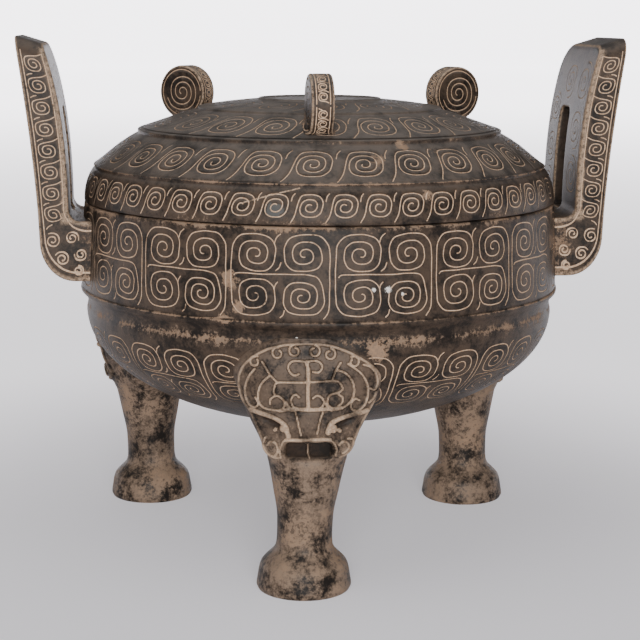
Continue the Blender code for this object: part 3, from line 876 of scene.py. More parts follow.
def plate_mesh(name, sheets, bend):
    """The plate's sheets, each vertex moved by the bend, welded to one closed mesh."""
    return joined(name, [solid_mesh(name, bend(points), triangles, incised=groove, worn=wear)
                         for points, triangles, groove, wear in sheets])


def chain(start, end, count, radius, turns, height):
    """A running wave of spirals along the first coordinate."""
    pitch = (end - start) / count
    wave = wave_lines(radius, turns, pitch, height, lean=0.0, tall=1.05, core=0.8)
    return [line + np.array([start + (k + 0.5) * pitch, 0.0]) for k in range(count)
            for line in wave]


print("plates are carved with triangles about", PLATE_STEP, "mm wide where plain")

# %% Knobs
KNOB_RADIUS = 13.8
KNOB_THICKNESS = 10.5
KNOB_EDGE = 1.2
KNOB_RING = 80.1
KNOB_CENTRE = 220.3
THIRD_BEARINGS = (-96.3, 23.7, 143.7)
KNOB_TWISTS = (8.0, 0.0, 0.0)
KNOB_FLARE = 1.8
KNOB_FLARE_HEIGHT = 3.2

knob_loop = np.array(arc((0, 0), KNOB_RADIUS, 0, 360 * 71 / 72, 71))
knob_face = [smooth(coil((0.3, 0.2), 9.6, 3.1, 200, 1, core=1.2, square=0.3)),
             smooth(arc((0, 0), 11.7, 5, 352, 40))]
knob_edge = chain(1.6, 85.2, 17, 2.05, 1.5, 4.8)
knob_edge += [np.array([(s, side * 3.1) for s in np.linspace(0.8, 86.0, 60)]) for side in (-1, 1)]
knob_sheets = carved_plate([knob_loop], KNOB_THICKNESS, KNOB_EDGE, knob_face,
                           [line * (-1, 1) for line in knob_face], [knob_edge], face_depth=0.6,
                           rim_depth=0.26, width=0.66)
hollow_points = len(lid_sections[0][1])
dome_radii, dome_heights = np.array(lid_profile[hollow_points:]).T


def dome_height(radius):
    """Height of the lid's outside at a radius."""
    return np.interp(radius, dome_radii[::-1], dome_heights[::-1])


def knob_bend(bearing, twist):
    """Stands a flat knob on the lid's shoulder, with a flared foot where it meets the clay."""
    matrix = (Matrix.Rotation(radians(bearing), 4, "Z") @ Matrix.Translation((KNOB_RING, 0, KNOB_CENTRE))
              @ Matrix.Rotation(radians(twist), 4, "Z") @ Matrix.Rotation(pi / 2, 4, "X"))
    placing = np.array(matrix)

    def bend(points):
        flat = np.asarray(points)
        moved = flat @ placing[:3, :3].T + placing[:3, 3]
        above = moved[:, 2] - dome_height(np.hypot(moved[:, 0], moved[:, 1]))
        flare = KNOB_FLARE * unit(1 - above / KNOB_FLARE_HEIGHT) ** 2
        away = np.column_stack([flat[:, 0] / KNOB_RADIUS, 0 * above, flat[:, 2] * 2 / KNOB_THICKNESS])
        return moved + (away * flare[:, None]) @ placing[:3, :3].T

    return bend


knob_meshes = [plate_mesh(f"knob_{k}", knob_sheets, knob_bend(*place))
               for k, place in enumerate(zip(THIRD_BEARINGS, KNOB_TWISTS))]

# %% [markdown]
# ## The ears
#
# Each ear is a tall slab with a slot. Its root comes straight out of the wall below the rim, turns
# up at an elbow and leans a little outwards. Two curves, one along the inside and one along the
# outside of the bend, say where the slab's two faces go, and every point between them follows.

# %% Ears
EAR_HALF = 34.0
EAR_LENGTH = 114.0
EAR_PLATE = 14.0
EAR_EDGE = 1.2
ROOT_LENGTH = 30.0
SLOT_FRONT, SLOT_BACK = -4.5, 12.5
SLOT_FOOT, SLOT_TOP = 164.2, 214.7
SLOT_ROUND = 4.0
BACK_SHOULDER = 15.0
FRONT_SHOULDER = 9.5
EAR_ROOT = 111.8
ROOT_TOP = 162.2
ROOT_FOOT = 133.4
ELBOW = (121.3, 152.9)
ELBOW_RADII = (16.5, 19.5)
FILLET = (118.3, 167.7)
FILLET_RADIUS = 5.5
EAR_INNER, EAR_OUTER = 123.8, 137.8
EAR_TOP_INNER, EAR_TOP = 246.0, 250.0
LEAN_INNER, LEAN_OUTER = 10.5, 9.7
OUTLINE_STEP = 1.5
FRONT_WAVE = (107.6, 26.6)
FRONT_BORDER = (108.4, 1.5)
FRONT_BORDER_ASIDE = 4.9

root_outer = [(EAR_ROOT, ROOT_FOOT)] + arc(ELBOW, ELBOW_RADII[0], -90, 0, 15, ELBOW_RADII[1])
root_outer += [(138.2, SLOT_FOOT)]
root_inner = [(EAR_ROOT, ROOT_TOP)] + arc(FILLET, FILLET_RADIUS, -90, -39.5, 8)
limb_flat = np.array([ROOT_LENGTH, ROOT_LENGTH + SLOT_TOP - SLOT_FOOT, EAR_LENGTH])


def follow(share, line):
    """Points at shares of a polyline's length."""
    lengths = along(line)
    return [np.interp(share * lengths[-1], lengths, [p[k] for p in line]) for k in (0, 1)]


def ear_bend(side):
    """Maps a flat ear (across, along, through) to its place; side is 1 on the right."""
    def bend(points):
        across, run, through = np.asarray(points).T
        share = through / EAR_PLATE + 0.5
        root = unit(run / ROOT_LENGTH)
        x_in, z_in = follow(root, root_inner)
        x_out, z_out = follow(root, root_outer)
        limb = run > ROOT_LENGTH
        rise_in = np.interp(run, limb_flat, (SLOT_FOOT, SLOT_TOP, EAR_TOP_INNER))
        rise_out = np.interp(run, limb_flat, (SLOT_FOOT, SLOT_TOP, EAR_TOP))
        fillet = FILLET[0] + np.sqrt(np.maximum(0, FILLET_RADIUS ** 2
                                                - np.maximum(0, FILLET[1] - rise_in) ** 2))
        lean_in = LEAN_INNER * unit((rise_in - ELBOW[1]) / (EAR_TOP_INNER - ELBOW[1])) ** 3
        lean_out = LEAN_OUTER * unit((rise_out - ELBOW[1]) / (EAR_TOP - ELBOW[1])) ** 1.5
        blend = unit((rise_in - SLOT_FOOT) / (FILLET[1] - SLOT_FOOT))
        x_in = np.where(limb, fillet + lean_in * blend, x_in)
        z_in = np.where(limb, rise_in, z_in)
        x_out = np.where(limb, EAR_OUTER + lean_out, x_out)
        z_out = np.where(limb, rise_out, z_out)
        x = x_in + (x_out - x_in) * share
        z = z_in + (z_out - z_in) * share
        return np.column_stack([side * x, across, z])

    return bend


print("an ear's root is", ROOT_LENGTH, "mm long before it turns up")

# %% Outline and drawing of an ear
def slot_run(height):
    return ROOT_LENGTH + height - SLOT_FOOT


ear_loop = evenly(np.array(
    [(-EAR_HALF, 0.0), (EAR_HALF, 0.0)]
    + arc((EAR_HALF - BACK_SHOULDER, EAR_LENGTH - BACK_SHOULDER), BACK_SHOULDER, 0, 90, 16)
    + arc((FRONT_SHOULDER - EAR_HALF, EAR_LENGTH - FRONT_SHOULDER), FRONT_SHOULDER, 90, 180, 12)),
    OUTLINE_STEP)
slot_corner = slot_run(SLOT_TOP) - SLOT_ROUND
slot_loop = evenly(np.array(
    [(SLOT_FRONT, slot_run(SLOT_FOOT)), (SLOT_BACK, slot_run(SLOT_FOOT))]
    + arc((SLOT_BACK - SLOT_ROUND, slot_corner), SLOT_ROUND, 0, 90, 8)
    + arc((SLOT_FRONT + SLOT_ROUND, slot_corner), SLOT_ROUND, 90, 180, 8)), OUTLINE_STEP)[::-1]
ear_around = along([tuple(p) for p in ear_loop] + [tuple(ear_loop[0])])[-1]
ear_front = chain(*(ear_around - np.array(FRONT_WAVE)), 8, 3.8, 1.9, 9.0)
ear_front += [np.array([(t, side * FRONT_BORDER_ASIDE)
                        for t in np.linspace(*(ear_around - np.array(FRONT_BORDER)), 70)])
              for side in (-1, 1)]
ear_grid = np.array([(0.0, run, through) for run in np.arange(0.5, 34.0, 0.25)
                     for through in np.arange(-5.4, 5.5, 0.2)])
grid_places = ear_bend(1)(ear_grid)[:, [0, 2]]


def on_elbow(points):
    """Where on the flat front edge a line drawn on the bent elbow belongs."""
    found = []
    for place in points:
        near = np.argsort(((grid_places - place) ** 2).sum(1))[:4]
        weight = 1 / (np.linalg.norm(grid_places[near] - place, axis=1) + 0.02)
        found.append((ear_grid[near, 1:] * weight[:, None]).sum(0) / weight.sum())
    found = np.array(found)
    return np.column_stack([ear_around - found[:, 0], found[:, 1]])


for x, z, radius, start, hand in ((131.6, 153.4, 3.7, 60, 1), (127.2, 144.6, 3.5, 30, 1),
                                  (122.4, 154.6, 3.2, 200, -1), (118.4, 146.6, 3.1, 0, -1),
                                  (119.6, 138.8, 2.4, 90, 1)):
    ear_front.append(on_elbow(smooth(coil((x, z), radius, 1.7, start, hand, core=0.8, square=0.3))))
ear_spirals = []
for place, reach, hand in (((-19.5, 95.0), 10.5, 1), ((-19.5, 71.0), 10.0, -1), ((-19.5, 48.0), 10.0, 1),
                           ((5.0, 95.0), 9.5, -1), ((23.0, 80.0), 8.0, 1), ((23.0, 60.0), 8.0, -1),
                           ((23.0, 41.0), 8.0, 1)):
    ear_spirals.append(smooth(coil(place, reach, 2.4, 90 if hand > 0 else 270, hand, square=0.6)))
ear_sheets = carved_plate([ear_loop, slot_loop], EAR_PLATE, EAR_EDGE, ear_spirals, ear_spirals,
                          [ear_front, []], face_depth=0.2, rim_depth=0.28, width=0.6)
ear_meshes = [plate_mesh(name, ear_sheets, ear_bend(side))
              for name, side in (("ear_right", 1), ("ear_left", -1))]

# %% [markdown]
# ## Legs with animal masks
#
# A leg is a solid of changing section: a spreading hoof, a slim ankle and a swelling calf that
# carries a mask in low relief. The masks were pressed in moulds, so all three are alike. Drawing
# the ridges as strokes and raising a fine grid by the distance to them gives the soft, rounded
# relief of pressed clay, which carved triangles would make too sharp.

# %% Strokes of the mask
MASK_BASE = -0.8
RIDGE_PROUD = 1.3
RIDGE_WIDTH = 1.25
BOLD_WIDTH = 2.1
MASK_ASIDE = 0.2
FIELD_LOW, FIELD_HIGH, FIELD_HALF = 61.8, 119.5, 33.2
SOCKET_ASIDE, SOCKET_HEIGHT, SOCKET_SLANT = 16.5, 81.6, 0.33
SOCKET_HALF = (7.0, 2.9)
SOCKET_DEPTH = 1.8
NOSE_HALF, NOSE_LOW, NOSE_HIGH, NOSE_PROUD = 6.0, 74.5, 88.5, 0.9
JOWL_ASIDE, JOWL_HEIGHT, JOWL_HALF = 16.6, 70.2, (4.6, 5.0)
EYE_PROUD = 1.3
MOUTH_DEPTH, DIVIDER_PROUD = 2.6, 2.2


def scroll(u, z, radius, start, hand):
    """A small curl that winds inwards and ends in a thicker dot."""
    return coil((u, z), radius, 0.95, start, hand, core=1.4, square=0.2)


mask_ridges = [
    [(-0.6, 109.9), (-4.0, 110.4), (-7.1, 110.1), (-8.7, 108.0), (-8.1, 105.5), (-6.1, 103.9),
     (-4.0, 104.6)],
    [(-0.6, 109.9), (1.3, 110.4), (3.8, 110.4), (5.8, 109.1), (6.0, 106.8), (4.2, 105.2), (2.2, 105.6)],
    [(-14.7, 94.6), (-15.1, 96.8), (-14.6, 99.2), (-13.3, 100.6), (-7.4, 100.7), (-1.2, 100.7)],
    [(0.9, 100.9), (7.0, 101.3), (12.5, 101.4), (14.5, 99.9), (15.2, 97.4), (13.0, 96.1),
     (9.9, 95.2), (8.6, 92.8), (9.1, 90.5), (11.4, 89.0)],
    [(-16.7, 90.7), (-16.5, 93.0), (-13.8, 94.6), (-11.0, 92.8), (-10.2, 90.5), (-11.5, 88.2)],
    [(13.4, 90.2), (15.1, 91.4), (15.4, 93.8), (13.2, 95.6)],
    [(-3.9, 94.0), (-5.4, 95.3), (-7.2, 93.8), (-7.2, 91.0), (-5.6, 89.4), (-3.0, 88.8)],
    [(2.2, 93.6), (4.2, 94.9), (6.6, 93.4), (6.9, 90.8), (5.3, 89.0)],
    [(-20.3, 109.7), (-18.4, 106.6), (-16.7, 103.9), (-13.8, 100.8)],
    [(14.5, 109.7), (12.2, 106.0), (10.6, 101.6)],
    [(-16.9, 103.6), (-19.7, 101.0), (-21.5, 97.9), (-22.2, 93.8), (-21.4, 90.4), (-18.6, 88.4),
     (-12.5, 87.8)],
    [(12.5, 106.4), (16.1, 105.2), (19.2, 102.0), (20.5, 97.4), (19.7, 93.3), (17.1, 90.2),
     (13.8, 88.8)],
    [(-23.6, 106.4), (-26.4, 102.5), (-28.0, 97.4), (-27.8, 93.3), (-26.4, 89.6), (-23.6, 88.6),
     (-22.0, 90.6), (-23.4, 93.2)],
    [(17.6, 109.0), (21.4, 106.4), (24.2, 103.6), (26.4, 99.2), (26.6, 94.8), (25.8, 90.8),
     (24.0, 88.4), (21.8, 87.4), (19.4, 88.4), (19.2, 91.0), (20.8, 93.0), (22.8, 92.2)],
    [(24.4, 108.4), (27.8, 107.0), (30.2, 103.6), (31.0, 98.8), (29.6, 96.2), (27.6, 97.2)],
    [(27.2, 90.4), (29.6, 92.4), (30.6, 95.0)],
    [(-5.8, 88.0), (-4.6, 84.0), (-4.0, 81.0), (-3.0, 77.0)],
    [(6.6, 87.2), (5.2, 82.7), (4.2, 77.6)],
    [(-9.8, 74.4), (-11.4, 72.6), (-12.4, 69.0), (-12.0, 65.8)],
    [(9.9, 74.4), (11.8, 72.8), (12.8, 69.6), (12.6, 66.6)],
    [(-19.2, 74.2), (-19.7, 70.4), (-17.6, 66.6), (-14.6, 66.2), (-13.2, 69.4), (-14.2, 72.6),
     (-16.6, 73.0), (-17.6, 71.2)],
    [(13.8, 71.8), (15.6, 73.4), (17.6, 72.2), (17.6, 69.6), (15.4, 67.6)],
    [(17.8, 74.4), (20.2, 73.4), (20.2, 70.6)]]
mask_ridges += [scroll(-5.9, 114.7, 2.7, 100, 1), scroll(2.7, 114.6, 2.7, 80, -1),
                scroll(-13.4, 113.6, 2.7, 80, 1), scroll(9.6, 113.3, 2.6, 80, -1),
                scroll(-23.6, 109.6, 2.4, 60, 1), scroll(20.3, 109.8, 2.5, 120, -1)]
mask_bold = [[(-0.6, 109.9), (0.0, 106.6), (0.1, 103.6), (0.1, 100.9), (0.0, 95.3), (0.2, 88.7)],
             [(-12.5, 87.8), (-6.6, 88.7), (0.0, 88.5), (7.8, 88.7), (12.0, 88.8), (15.0, 89.2)],
             [(-9.8, 91.4), (-8.6, 89.6), (-7.4, 88.2)], [(8.4, 91.0), (9.2, 89.4), (10.4, 88.4)],
             [(-9.8, 74.2), (-6.0, 74.3), (-2.6, 74.2)], [(-2.6, 74.2), (3.0, 74.6), (9.9, 74.5)]]
mask_brows = [[(-25.4, 87.2), (-20.3, 85.9), (-16.0, 84.6), (-12.4, 82.9), (-10.0, 80.8),
               (-9.2, 78.0), (-8.6, 76.0)],
              [(26.4, 86.6), (21.0, 85.8), (15.4, 84.5), (12.0, 83.2), (9.8, 81.2), (9.0, 77.8)]]
mask_rims = [[(0.0, 118.0), (-9.0, 117.4), (-18.0, 115.2), (-25.0, 111.0), (-29.2, 106.5),
              (-31.0, 101.0), (-30.8, 95.0), (-29.0, 90.0), (-26.4, 86.6), (-24.2, 82.5),
              (-21.8, 76.0), (-19.8, 69.5), (-18.2, 66.2), (-15.5, 65.0), (-12.0, 65.4)],
             [(0.0, 118.0), (9.0, 117.2), (17.6, 114.2), (23.8, 110.8), (28.8, 107.0),
              (31.8, 102.6), (32.2, 97.8), (31.0, 92.6), (28.6, 88.0), (26.4, 84.6), (23.4, 79.0),
              (21.6, 73.6), (20.0, 69.4), (17.6, 66.8), (14.4, 65.4)]]
mask_eyes = [(-11.0, 79.6, 2.0), (-14.6, 78.8, 1.0), (11.3, 79.5, 2.3), (14.2, 78.6, 1.1)]
MOUTH = (-11.0, 11.8, 64.4, 72.8)
MOUTH_ROUND = 3.0
DIVIDER = [(-1.4, 73.4), (0.0, 71.6), (0.0, 68.0), (0.9, 65.4)]
print("the mask has", len(mask_ridges) + len(mask_bold), "ridges")

# %% Relief of the mask
def ridge_share(points, strokes, width):
    """1 on the crest of the strokes, falling softly to 0 at their feet."""
    lines = [smooth(stroke) for stroke in strokes]
    share = unit(1 - distance_to(points, lines) / (width / 2))
    return np.sqrt(share * (2 - share))


def mask_relief(points):
    """Height of the mask's relief, how much of it is raised and where its recesses take painted shade,
    at points (across, height).
    """
    points = points - (MASK_ASIDE, 0.0)
    u, z = points.T
    field = unit((z - FIELD_LOW) / 1.6) * unit(FIELD_HALF - np.abs(u))
    field *= unit((FIELD_HIGH - z) / 2.0)
    ridges = ridge_share(points, mask_ridges, RIDGE_WIDTH)
    bold = ridge_share(points, mask_bold, BOLD_WIDTH)
    rims = 0.7 * ridge_share(points, mask_rims, 1.7)
    brows = 1.3 * ridge_share(points, mask_brows, 2.6)
    eyes = np.zeros(len(points))
    for across, height, reach in mask_eyes:
        gap = np.hypot(u - across, (z - height) * 1.1) / reach
        eyes = np.maximum(eyes, EYE_PROUD * np.sqrt(unit(1 - gap ** 2)))
    divider = ridge_share(points, [DIVIDER], 1.3)
    raised = np.maximum.reduce([ridges, bold, rims, brows, eyes])
    side = np.abs(u)
    beside = side - SOCKET_ASIDE
    socket = np.hypot(beside / SOCKET_HALF[0],
                      (z - SOCKET_HEIGHT - SOCKET_SLANT * beside) / SOCKET_HALF[1])
    nose = unit(1 - (side / NOSE_HALF) ** 2)
    nose *= unit((z - NOSE_LOW) / 3) * unit((NOSE_HIGH - z) / 2)
    jowl = unit(1 - np.hypot((side - JOWL_ASIDE) / JOWL_HALF[0],
                             (z - JOWL_HEIGHT) / JOWL_HALF[1]) ** 2)
    depth = MASK_BASE + NOSE_PROUD * nose + jowl
    depth -= SOCKET_DEPTH * unit(1.5 * (1 - socket))
    left, right, low, high = MOUTH
    inner_u = np.minimum(right - u, u - left) - MOUTH_ROUND
    inner_z = np.minimum(z - low, high - z) - MOUTH_ROUND
    margin = MOUTH_ROUND - np.hypot(np.minimum(inner_u, 0), np.minimum(inner_z, 0))
    mouth = unit(margin / 0.8)
    relief = depth + RIDGE_PROUD * raised * (1 - mouth)
    relief += mouth * (DIVIDER_PROUD * divider - MOUTH_DEPTH)
    pale = unit(raised) * (1 - mouth) + 0.6 * mouth * divider
    # The mouth and the eye sockets, which later get no soil or dust and so stay dark as painted shade.
    sunken = np.maximum(mouth * (1 - divider), unit(2.2 * (1 - socket)))
    return relief * field, pale * field, sunken * (1 - pale)


print("the mask's ridges stand", RIDGE_PROUD, "mm above its cells")

# %% Body of a leg
LEG_CIRCLE = 98.9
LEG_SHIFT = (-6.0, 0.7)
MASK_LOW, MASK_HIGH = 61.6, 120.1
round_sections = [(0.0, 21.2), (0.8, 21.8), (2.4, 21.9), (5.0, 21.4), (9.0, 20.8), (11.6, 20.0),
                  (13.2, 18.9), (15.0, 17.1), (17.0, 15.0), (19.3, 13.4), (23.0, 12.8),
                  (30.0, 12.8), (37.0, 13.2), (46.0, 14.9), (54.0, 16.4)]
leg_sections = [(z, radius, radius, 0.0) for z, radius in round_sections]
leg_sections += [
    (61.2, 18.0, 17.8, 0.0), (63.2, 19.0, 18.2, 0.0), (66.0, 20.5, 18.6, 0.0),
    (72.0, 22.9, 19.3, 0.0), (79.2, 26.4, 20.5, 0.0), (87.5, 30.0, 19.0, 1.5),
    (96.2, 32.4, 16.5, 4.0), (104.0, 33.4, 14.5, 6.0), (110.9, 31.0, 12.0, 8.0),
    (116.9, 24.7, 9.2, 10.0), (120.1, 15.0, 8.8, 10.0)]
FRONT_COLUMNS = 152
BACK_COLUMNS = 28
BEND_ASIDE = 1.5
BEND_LOW, BEND_HIGH = 16.0, 70.0


def section_curve(column):
    line = smooth([(s[0], s[column]) for s in leg_sections])
    return lambda z: np.interp(z, line[:, 0], line[:, 1])


half_width, half_depth, outward = (section_curve(k) for k in (1, 2, 3))


def leg_grid():
    """Points of the leg in its own frame, with its front towards -Y; across and height too."""
    low = np.unique(np.r_[np.linspace(0, 24, 17), np.arange(26.0, MASK_LOW, 2.0)])
    heights = np.r_[low, np.arange(MASK_LOW, MASK_HIGH, 0.42), MASK_HIGH]
    rows, coords = [], []
    for z in heights:
        power = 2.0 + 0.8 * unit((z - 61.0) / 4.0)
        angles = np.linspace(-pi / 2, pi / 2, 721)
        front = np.column_stack([
            np.sign(angles) * half_width(z) * np.abs(np.sin(angles)) ** (2 / power),
            -half_depth(z) * np.abs(np.cos(angles)) ** (2 / power)])
        lengths = along(front)
        at = np.linspace(0, lengths[-1], FRONT_COLUMNS + 1)
        front = np.column_stack([np.interp(at, lengths, front[:, k]) for k in (0, 1)])
        back = front[np.linspace(FRONT_COLUMNS, 0, BACK_COLUMNS + 1).astype(int)[1:-1]] * (1, -1)
        ring = np.vstack([front, back]) - (0, outward(z))
        aside = BEND_ASIDE * unit((z - BEND_LOW) / (BEND_HIGH - BEND_LOW))
        rows.append(np.column_stack([ring + (aside, 0), np.full(len(ring), z)]))
        coords.append(np.column_stack([ring[:, 0], np.full(len(ring), z)]))
    return np.array(rows), np.array(coords)


leg_points, leg_coords = leg_grid()
rows, columns = leg_points.shape[:2]
ahead = np.roll(leg_points, -1, axis=1) - np.roll(leg_points, 1, axis=1)
upward = np.gradient(leg_points, axis=0)
leg_normals = np.cross(ahead, upward)
leg_normals /= np.linalg.norm(leg_normals, axis=2)[:, :, None]
is_front = np.arange(columns) <= FRONT_COLUMNS
relief, raised, sunken = (part.reshape(rows, columns) * is_front
                          for part in mask_relief(leg_coords.reshape(-1, 2)))
leg_surface = leg_points + leg_normals * relief[:, :, None]
leg_faces = [(r * columns + c, r * columns + (c + 1) % columns,
              (r + 1) * columns + (c + 1) % columns, (r + 1) * columns + c)
             for r in range(rows - 1) for c in range(columns)]
leg_faces += [(r, (r + 1) % columns, rows * columns) for r in range(columns)]
top = (rows - 1) * columns
leg_faces += [(top + r, top + (r + 1) % columns, rows * columns + 1) for r in range(columns)]
print("a leg has", rows, "rings of", columns, "points")

# %% Legs on the bowl
CORE_RADIUS = 113.95
CORE_DEPTH = 52.75


def stand_leg(bearing):
    """The leg's points moved under the bowl, and kept out of the bowl's hollow."""
    middle_low = leg_surface[0].mean(0)
    middle_high = leg_surface[-1].mean(0)
    points = np.vstack([leg_surface.reshape(-1, 3), middle_low, middle_high])
    turn = radians(bearing + 90)
    x = points[:, 0] * cos(turn) - (points[:, 1] - LEG_CIRCLE) * sin(turn)
    y = points[:, 0] * sin(turn) + (points[:, 1] - LEG_CIRCLE) * cos(turn)
    return np.column_stack([x, y, points[:, 2]])


def legs_outside(points):
    drop = unit((SHOULDER_HEIGHT - points[:, 2]) / CORE_DEPTH)
    core = CORE_RADIUS * np.sqrt(1 - drop ** 2)
    reach = np.hypot(points[:, 0], points[:, 1])
    share = np.maximum(1.0, core / np.maximum(reach, 1e-6))
    return np.column_stack([points[:, 0] * share, points[:, 1] * share, points[:, 2]])


leg_meshes = []
for number, bearing in enumerate(THIRD_BEARINGS):
    placed = stand_leg(bearing)
    placed[:, :2] += LEG_SHIFT
    spread = np.r_[raised.ravel(), 0, 0]
    leg_meshes.append(joined(f"leg_{number}", [solid_mesh(
        f"leg_{number}", legs_outside(placed), leg_faces, raised=spread,
        sunken=np.r_[sunken.ravel(), 0, 0])], weld=0.002))

# %% [markdown]
# ## Clay, slip and soil
#
# The real surface is dark burnished clay. A grey painted sheen lies on what faces up, more the higher
# it lies and more on the lid, a highlight from the light above. Pale clay sits in the incised
# lines, but not in all of them, and tan burial soil clings to ledges, corners and legs. The masks'
# mouths and eye sockets get no soil or dust, so that they stay dark as painted shade. Both
# materials read the attributes that the meshes carry: how deep a point is incised, how worn, how
# far it is raised on a mask, how level it lies, where painted shade sits and how much soil it
# holds. Noise breaks up each of them.

# %% Reading and shaping attributes
def attribute_of(mesh, key):
    """A float attribute's values, zeros where the mesh has none."""
    values = np.zeros(len(mesh.vertices), np.float32)
    layer = mesh.attributes.get(key)
    if layer:
        layer.data.foreach_get("value", values)
    return values


def places_of(mesh):
    """Vertex places in millimetres."""
    flat = np.zeros(3 * len(mesh.vertices), np.float32)
    mesh.vertices.foreach_get("co", flat)
    return flat.reshape(-1, 3) / MM


def hill(value, centre, reach):
    """1 at the centre, falling softly to 0 at the reach."""
    return unit(1 - np.abs(value - centre) / reach) ** 1.5


def spots(at, places):
    """Round patches of soil, 1 near the middle and 0 from 1.6 times the reach outwards."""
    field = np.zeros(len(at))
    for x, y, z, reach in places:
        gap = np.linalg.norm(at - (x, y, z), axis=1) / reach
        field = np.maximum(field, unit(1.6 - gap))
    return field


print("soft hills and spots say where soil lies")

# %% Where soil and wear lie, in millimetres
bowl_spots = [(-50.6, -107.5, 145.8, 4.5), (-47.0, -109.6, 133.7, 3.0), (-53.5, -106.9, 127.5, 3.2),
              (14.7, -116.2, 113.6, 4.5), (10.6, -116.6, 115.6, 3.5), (49.2, -106.4, 172.4, 2.5)]
lid_spots = [(14.7, -98.7, 197.7, 4.2), (27.7, -88.2, 202.6, 3.4), (42.6, -86.2, 200.2, 2.6),
             (36.3, -108.2, 181.9, 2.8), (-9.8, -88.0, 206.3, 2.4)]
bowl_ledges = [(169.0, 5.0, 0.75), (118.6, 7.0, 0.75), (127.2, 1.4, 0.9)]
lid_ledges = [(171.0, 3.0, 0.2), (187.3, 1.1, 0.8), (204.0, 2.0, 0.3)]
EAR_SOIL = (119.0, 150.0)


def ledges(z, places):
    """Rings of soil, each given by its height, its reach and its strength."""
    return sum(strength * hill(z, height, reach) for height, reach, strength in places)


def soil_on_bowl(at):
    radius, z = np.hypot(at[:, 0], at[:, 1]), at[:, 2]
    soil = ledges(z, bowl_ledges) + 0.15 * (z < 120)
    ear_side = unit(2.2 * hill(np.abs(at[:, 0]), EAR_SOIL[0], 26.0))
    ear_side *= hill(z, EAR_SOIL[1], 30.0)
    soil = unit(soil + 0.8 * ear_side)
    return np.maximum(soil, spots(at, bowl_spots)) * (radius > 5)


def soil_on_lid(at):
    z = at[:, 2]
    soil = 0.15 + ledges(z, lid_ledges)
    for knob in THIRD_BEARINGS:
        gap = np.hypot(at[:, 0] - KNOB_RING * cos(radians(knob)),
                       at[:, 1] - KNOB_RING * sin(radians(knob)))
        soil += 0.45 * unit(1.5 - gap / 12) * (z > 195)
    return np.maximum(unit(soil), spots(at, lid_spots))


def soil_on_ear(at):
    near_wall = unit(1 - (np.abs(at[:, 0]) - 118) / 9)
    return 0.15 + 0.45 * near_wall * unit((172 - at[:, 2]) / 8)


def wear_on_ear(at):
    """The rubbed front arris along the inside of an ear, 1 at its crest."""
    rise = unit((at[:, 2] - ELBOW[1]) / (EAR_TOP_INNER - ELBOW[1]))
    gap = np.abs(at[:, 0]) - EAR_INNER - LEAN_INNER * rise ** 3
    limb = unit(1.7 - gap / 1.8) * unit((at[:, 2] - 165) / 4)
    root = unit(1.7 - (ROOT_TOP + 1.5 - at[:, 2]) / 1.8) * (np.abs(at[:, 0]) < 127)
    return np.maximum(limb, root) * (at[:, 1] < -31.0)


def soil_on_leg(at):
    return 0.45 + 0.15 * unit((68 - at[:, 2]) / 10) - 0.2 * unit((at[:, 2] - 80) / 10)


def soil_on_knob(at):
    above = at[:, 2] - dome_height(np.hypot(at[:, 0], at[:, 1]))
    return 0.2 + 0.55 * unit(1 - above / 9)


print("soil lies on", len(bowl_ledges) + len(lid_ledges), "ledges and in",
      len(bowl_spots) + len(lid_spots), "marked spots")

# %% Soil, painted sheen, dust and wear written to the meshes
LEG_DUST = 0.80
DUST_SHARE = 0.14
SHEEN_TOP, SHEEN_MIDDLE = 215.0, 170.0


def painted_sheen_share(mesh):
    """How level each point lies, for the grey painted sheen on what faces up, stronger higher up."""
    flat = np.zeros(3 * len(mesh.vertices), np.float32)
    mesh.vertices.foreach_get("normal", flat)
    level = unit((flat.reshape(-1, 3)[:, 2] - 0.30) / 0.65)
    high = unit((places_of(mesh)[:, 2] - SHEEN_MIDDLE) / (SHEEN_TOP - SHEEN_MIDDLE))
    return level * (0.35 + 0.65 * high)


soil_rules = [(bowl_mesh, soil_on_bowl), (lid_mesh, soil_on_lid)]
soil_rules += [(mesh, soil_on_ear) for mesh in ear_meshes]
soil_rules += [(mesh, soil_on_leg) for mesh in leg_meshes]
soil_rules += [(mesh, soil_on_knob) for mesh in knob_meshes]
for mesh, rule in soil_rules:
    # Painted shade: the masks' mouths and sockets get no soil or dust, so they stay dark.
    beyond_painted_shade = 1 - attribute_of(mesh, "sunken")
    write_attribute(mesh, "soil", rule(places_of(mesh)) * beyond_painted_shade)
    write_attribute(mesh, "level", painted_sheen_share(mesh))
    if mesh in leg_meshes:
        z = places_of(mesh)[:, 2]
        rubbed = 0.55 * unit((z - 72) / 4) + 0.35 * hill(z, 31.0, 18.0)
        write_attribute(mesh, "dusty", beyond_painted_shade * LEG_DUST * (1 - rubbed))
    else:
        write_attribute(mesh, "dusty", beyond_painted_shade * DUST_SHARE)
    for key in ("incised", "worn", "raised"):
        write_attribute(mesh, key, attribute_of(mesh, key))
    if mesh in ear_meshes:
        rubbed = wear_on_ear(places_of(mesh))
        write_attribute(mesh, "worn", np.maximum(attribute_of(mesh, "worn"), rubbed))
print(len(soil_rules), "meshes carry soil, wear and depth")

